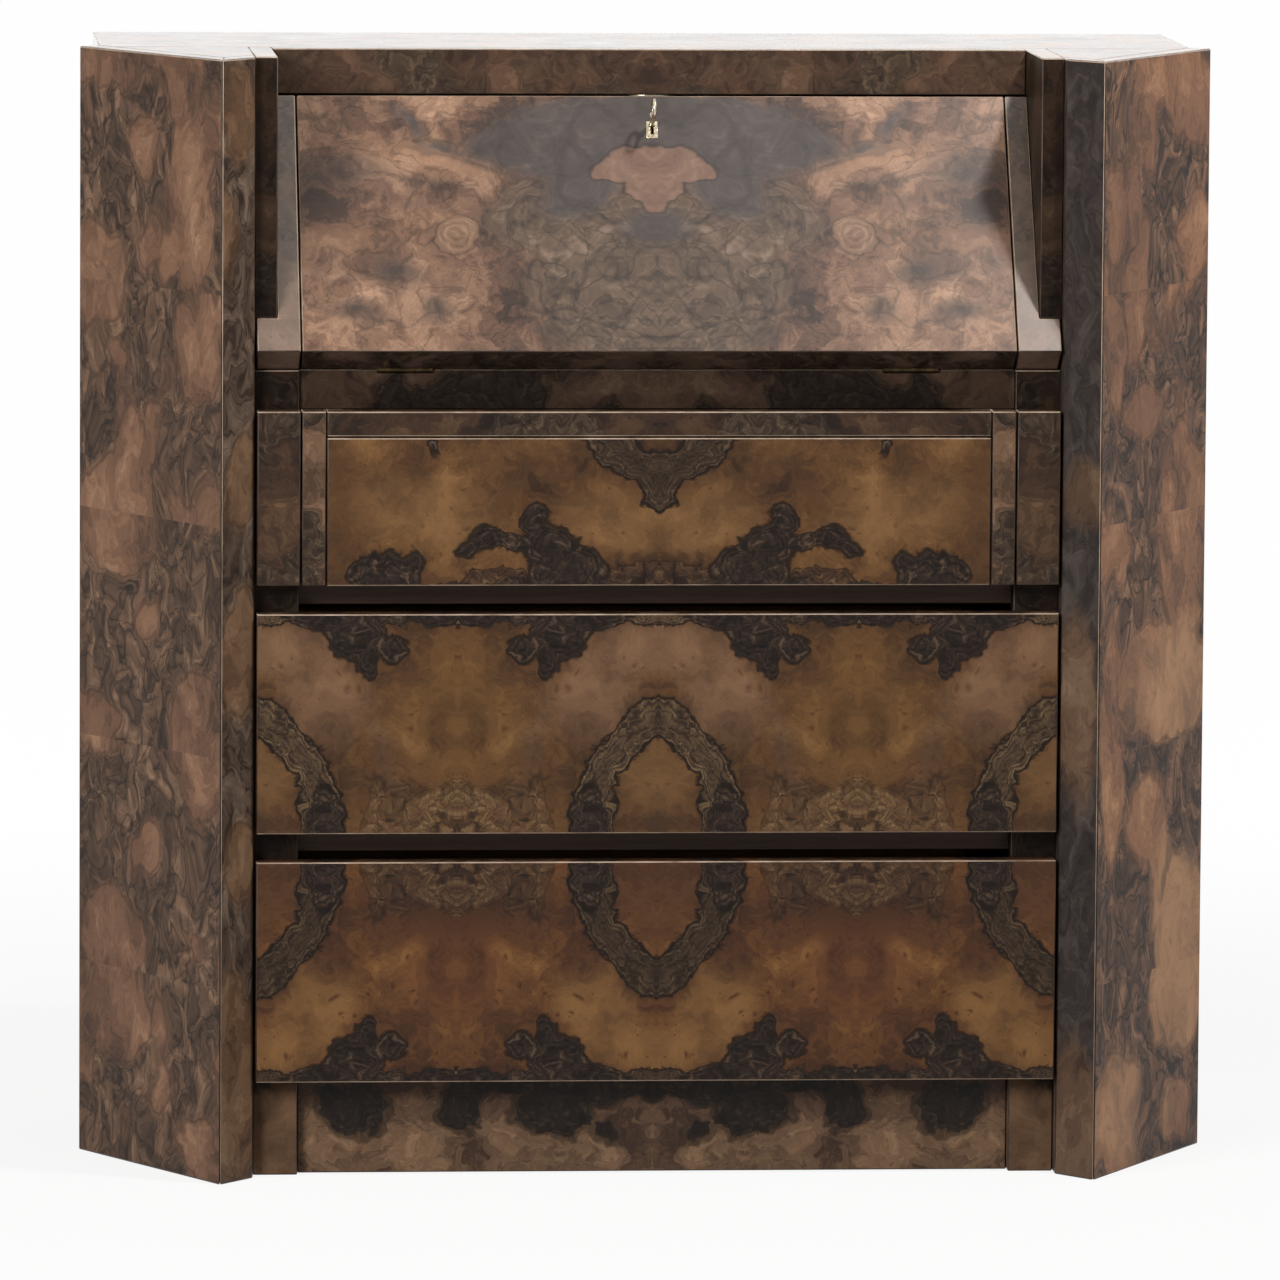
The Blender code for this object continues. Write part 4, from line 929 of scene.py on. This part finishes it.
def makeScrew(shape, place, turn):
    wide, head = screwLook["radius"] * mm, screwLook["head"] * mm
    made = bmesh.ops.create_cone(shape, cap_ends=True, segments=screwLook["sides"],
                                 radius1=wide * screwLook["taper"], radius2=wide, depth=head)["verts"]
    bmesh.ops.translate(shape, vec=(0, 0, screwLook["proud"] * mm - head / 2), verts=made)
    own = set(made)
    for offset in (-0.5, 0.5):
        geom = list(own) + [edge for edge in shape.edges if set(edge.verts) <= own]
        geom += [face for face in shape.faces if set(face.verts) <= own]
        cut = bmesh.ops.bisect_plane(shape, geom=geom, plane_co=(offset * screwLook["slot"] * mm, 0, 0),
                                     plane_no=(1, 0, 0))
        own.update(item for item in cut["geom_cut"] if isinstance(item, bmesh.types.BMVert))
    strip = [face for face in shape.faces if set(face.verts) <= own and face.normal.z > 0.9
             and abs(face.calc_center_median().x) < 0.1 * mm]
    pushed = bmesh.ops.extrude_face_region(shape, geom=strip)["geom"]
    sunk = [item for item in pushed if isinstance(item, bmesh.types.BMVert)]
    bmesh.ops.delete(shape, geom=strip, context="FACES_ONLY")
    bmesh.ops.translate(shape, vec=(0, 0, -screwLook["slotDepth"] * mm), verts=sunk)
    own.update(sunk)
    bmesh.ops.transform(shape, matrix=place @ Matrix.Rotation(turn, 4, "Z"), verts=list(own))


def makeHingeScrews():
    turns = (0.3, 1.2, 2.2)    # slots never line up on a hand-driven screw
    inset = screwLook["inset"] * mm
    for side in ("L", "R"):
        for kind, body, tilt in (("fixed", "carcass", Matrix.Identity(4)),
                                 ("moving", "fall", slantFrame)):
            node = "hinge_leaf_%s_%s" % (kind, side)
            inverse = tilt.inverted()
            points = [inverse @ vert.co for vert in frame["nodes"][node].data.vertices]
            low = Vector([min(point[i] for point in points) for i in range(3)])
            high = Vector([max(point[i] for point in points) for i in range(3)])
            shape = bmesh.new()
            for step, turn in zip((-1, 0, 1), turns):
                across = (low.x + high.x) / 2 + step * screwLook["spacing"] * mm
                if kind == "fixed":
                    place = Matrix.Translation((across, high.y - inset, high.z))
                else:
                    place = tilt @ Matrix.Translation((across, high.y, high.z - inset))
                    place = place @ Matrix.Rotation(-pi / 2, 4, "X")
                makeScrew(shape, place, turn)
            bmesh.ops.recalc_face_normals(shape, faces=shape.faces)
            finishPiece("hingeScrews.%s.%s" % (kind, side), shape, (allFinishes["lockSteel"],), body,
                        smoothDegrees)


makeHingeScrews()
print("hinge screws driven")

# the back board is screwed on round its edge

backScrews = {"inset": 14.0, "across": 6, "up": 5, "turns": (0.7, 1.3)}


def makeBackScrews():
    low, high = (Vector(corner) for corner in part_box("back_panel"))
    inset = backScrews["inset"] * mm
    shape = bmesh.new()
    columns, rows = backScrews["across"], backScrews["up"]
    columnTurn, rowTurn = backScrews["turns"]
    for column in range(columns):
        for row in range(rows):
            if 0 < column < columns - 1 and 0 < row < rows - 1:
                continue
            across = low.x + inset + (high.x - low.x - 2 * inset) * column / (columns - 1)
            up = low.z + inset + (high.z - low.z - 2 * inset) * row / (rows - 1)
            place = Vector((across, high.y, up))
            flush = Matrix.Translation(place - Vector((0, screwLook["proud"] * mm, 0)))
            turn = columnTurn * column + rowTurn * row
            makeScrew(shape, flush @ Matrix.Rotation(-pi / 2, 4, "X"), turn)
    bmesh.ops.recalc_face_normals(shape, faces=shape.faces)
    finishPiece("backScrews", shape, (allFinishes["lockSteel"],), "carcass",
                smoothDegrees)


makeBackScrews()
print("back screwed on")

# studio: white floor and surround, a softbox high in front, a broad fill, and a low light behind

studio = {
    "surround": 0.20,
    "softbox": {"place": (1.04, -1.0, 2.75), "aim": (0.0, -0.15, 0.7), "size": (0.22, 0.22),
                "power": 40},
    "fill": {"place": (-2.6, -3.4, 2.3), "aim": (0.0, -0.1, 0.5), "size": (1.6, 1.6), "power": 122},
    "behind": {"place": (0.0, 3.4, 1.3), "aim": (0.0, 0.0, 1.0), "size": (4.0, 1.2), "power": 26},
    "floorSize": 30.0,
    "floorTint": "#9c9995",
    "floorShown": "#f2f1ef",        # the paint as it is seen, under the white
    "floorWhite": (0.86, 0.99),     # share of white near the desk, where its shadow lies, and far off
    "floorFade": (0.8, 2.5),        # metres from the middle between which that share changes
}


def raysThatSee(tree):
    # 1 for the rays that show the background: to the camera, in reflections and through glass
    path = add(tree, "LightPath")
    seen = path.outputs["Is Camera Ray"]
    for kind in ("Is Glossy Ray", "Is Transmission Ray"):
        seen = add(tree, "Math", {0: seen, 1: path.outputs[kind]}, operation="MAXIMUM")
    return seen


def makeStudio():
    world = bpy.data.worlds.new("studio")
    scene.world = world
    world.use_nodes = True
    tree = world.node_tree
    tree.nodes.clear()
    seen = raysThatSee(tree)
    strength = add(tree, "MapRange", {"Value": seen, "To Min": studio["surround"], "To Max": 1.0})
    back = add(tree, "Background", {"Color": (1, 1, 1, 1), "Strength": strength})
    add(tree, "OutputWorld", {"Surface": back})
    for name in ("softbox", "fill", "behind"):
        lamp = studio[name]
        data = bpy.data.lights.new(name, "AREA")
        data.shape = "RECTANGLE"
        data.size, data.size_y = lamp["size"]
        data.energy = lamp["power"]
        light = bpy.data.objects.new(name, data)
        light.location = lamp["place"]
        away = Vector(lamp["aim"]) - Vector(lamp["place"])
        light.rotation_euler = away.to_track_quat("-Z", "Y").to_euler()
        scene.collection.objects.link(light)


def makeFloor():
    shape = bmesh.new()
    bmesh.ops.create_grid(shape, x_segments=1, y_segments=1, size=studio["floorSize"])
    mesh = bpy.data.meshes.new("studioFloor")
    shape.to_mesh(mesh)
    shape.free()
    floor = bpy.data.objects.new("studioFloor", mesh)
    scene.collection.objects.link(floor)
    material, tree = newMaterial("paintedFloor")
    seen = raysThatSee(tree)
    away = add(tree, "VectorMath", {0: add(tree, "TexCoord").outputs["Object"]}, operation="LENGTH")
    near, far = studio["floorFade"]
    least, most = studio["floorWhite"]
    share = add(tree, "MapRange", {"Value": away.outputs["Value"], "From Min": near, "From Max": far,
                                   "To Min": least, "To Max": most}, interpolation_type="SMOOTHSTEP")
    paint = add(tree, "BsdfDiffuse", {"Color": colour(studio["floorTint"])})
    pale = add(tree, "BsdfDiffuse", {"Color": colour(studio["floorShown"])})
    white = add(tree, "Emission", {"Color": (1, 1, 1, 1), "Strength": 1.0})
    shown = add(tree, "MixShader", {0: share, 1: pale, 2: white})
    both = add(tree, "MixShader", {0: seen, 1: paint, 2: shown})
    add(tree, "OutputMaterial", {"Surface": both})
    mesh.materials.append(material)


makeStudio()
makeFloor()
print("studio lit")
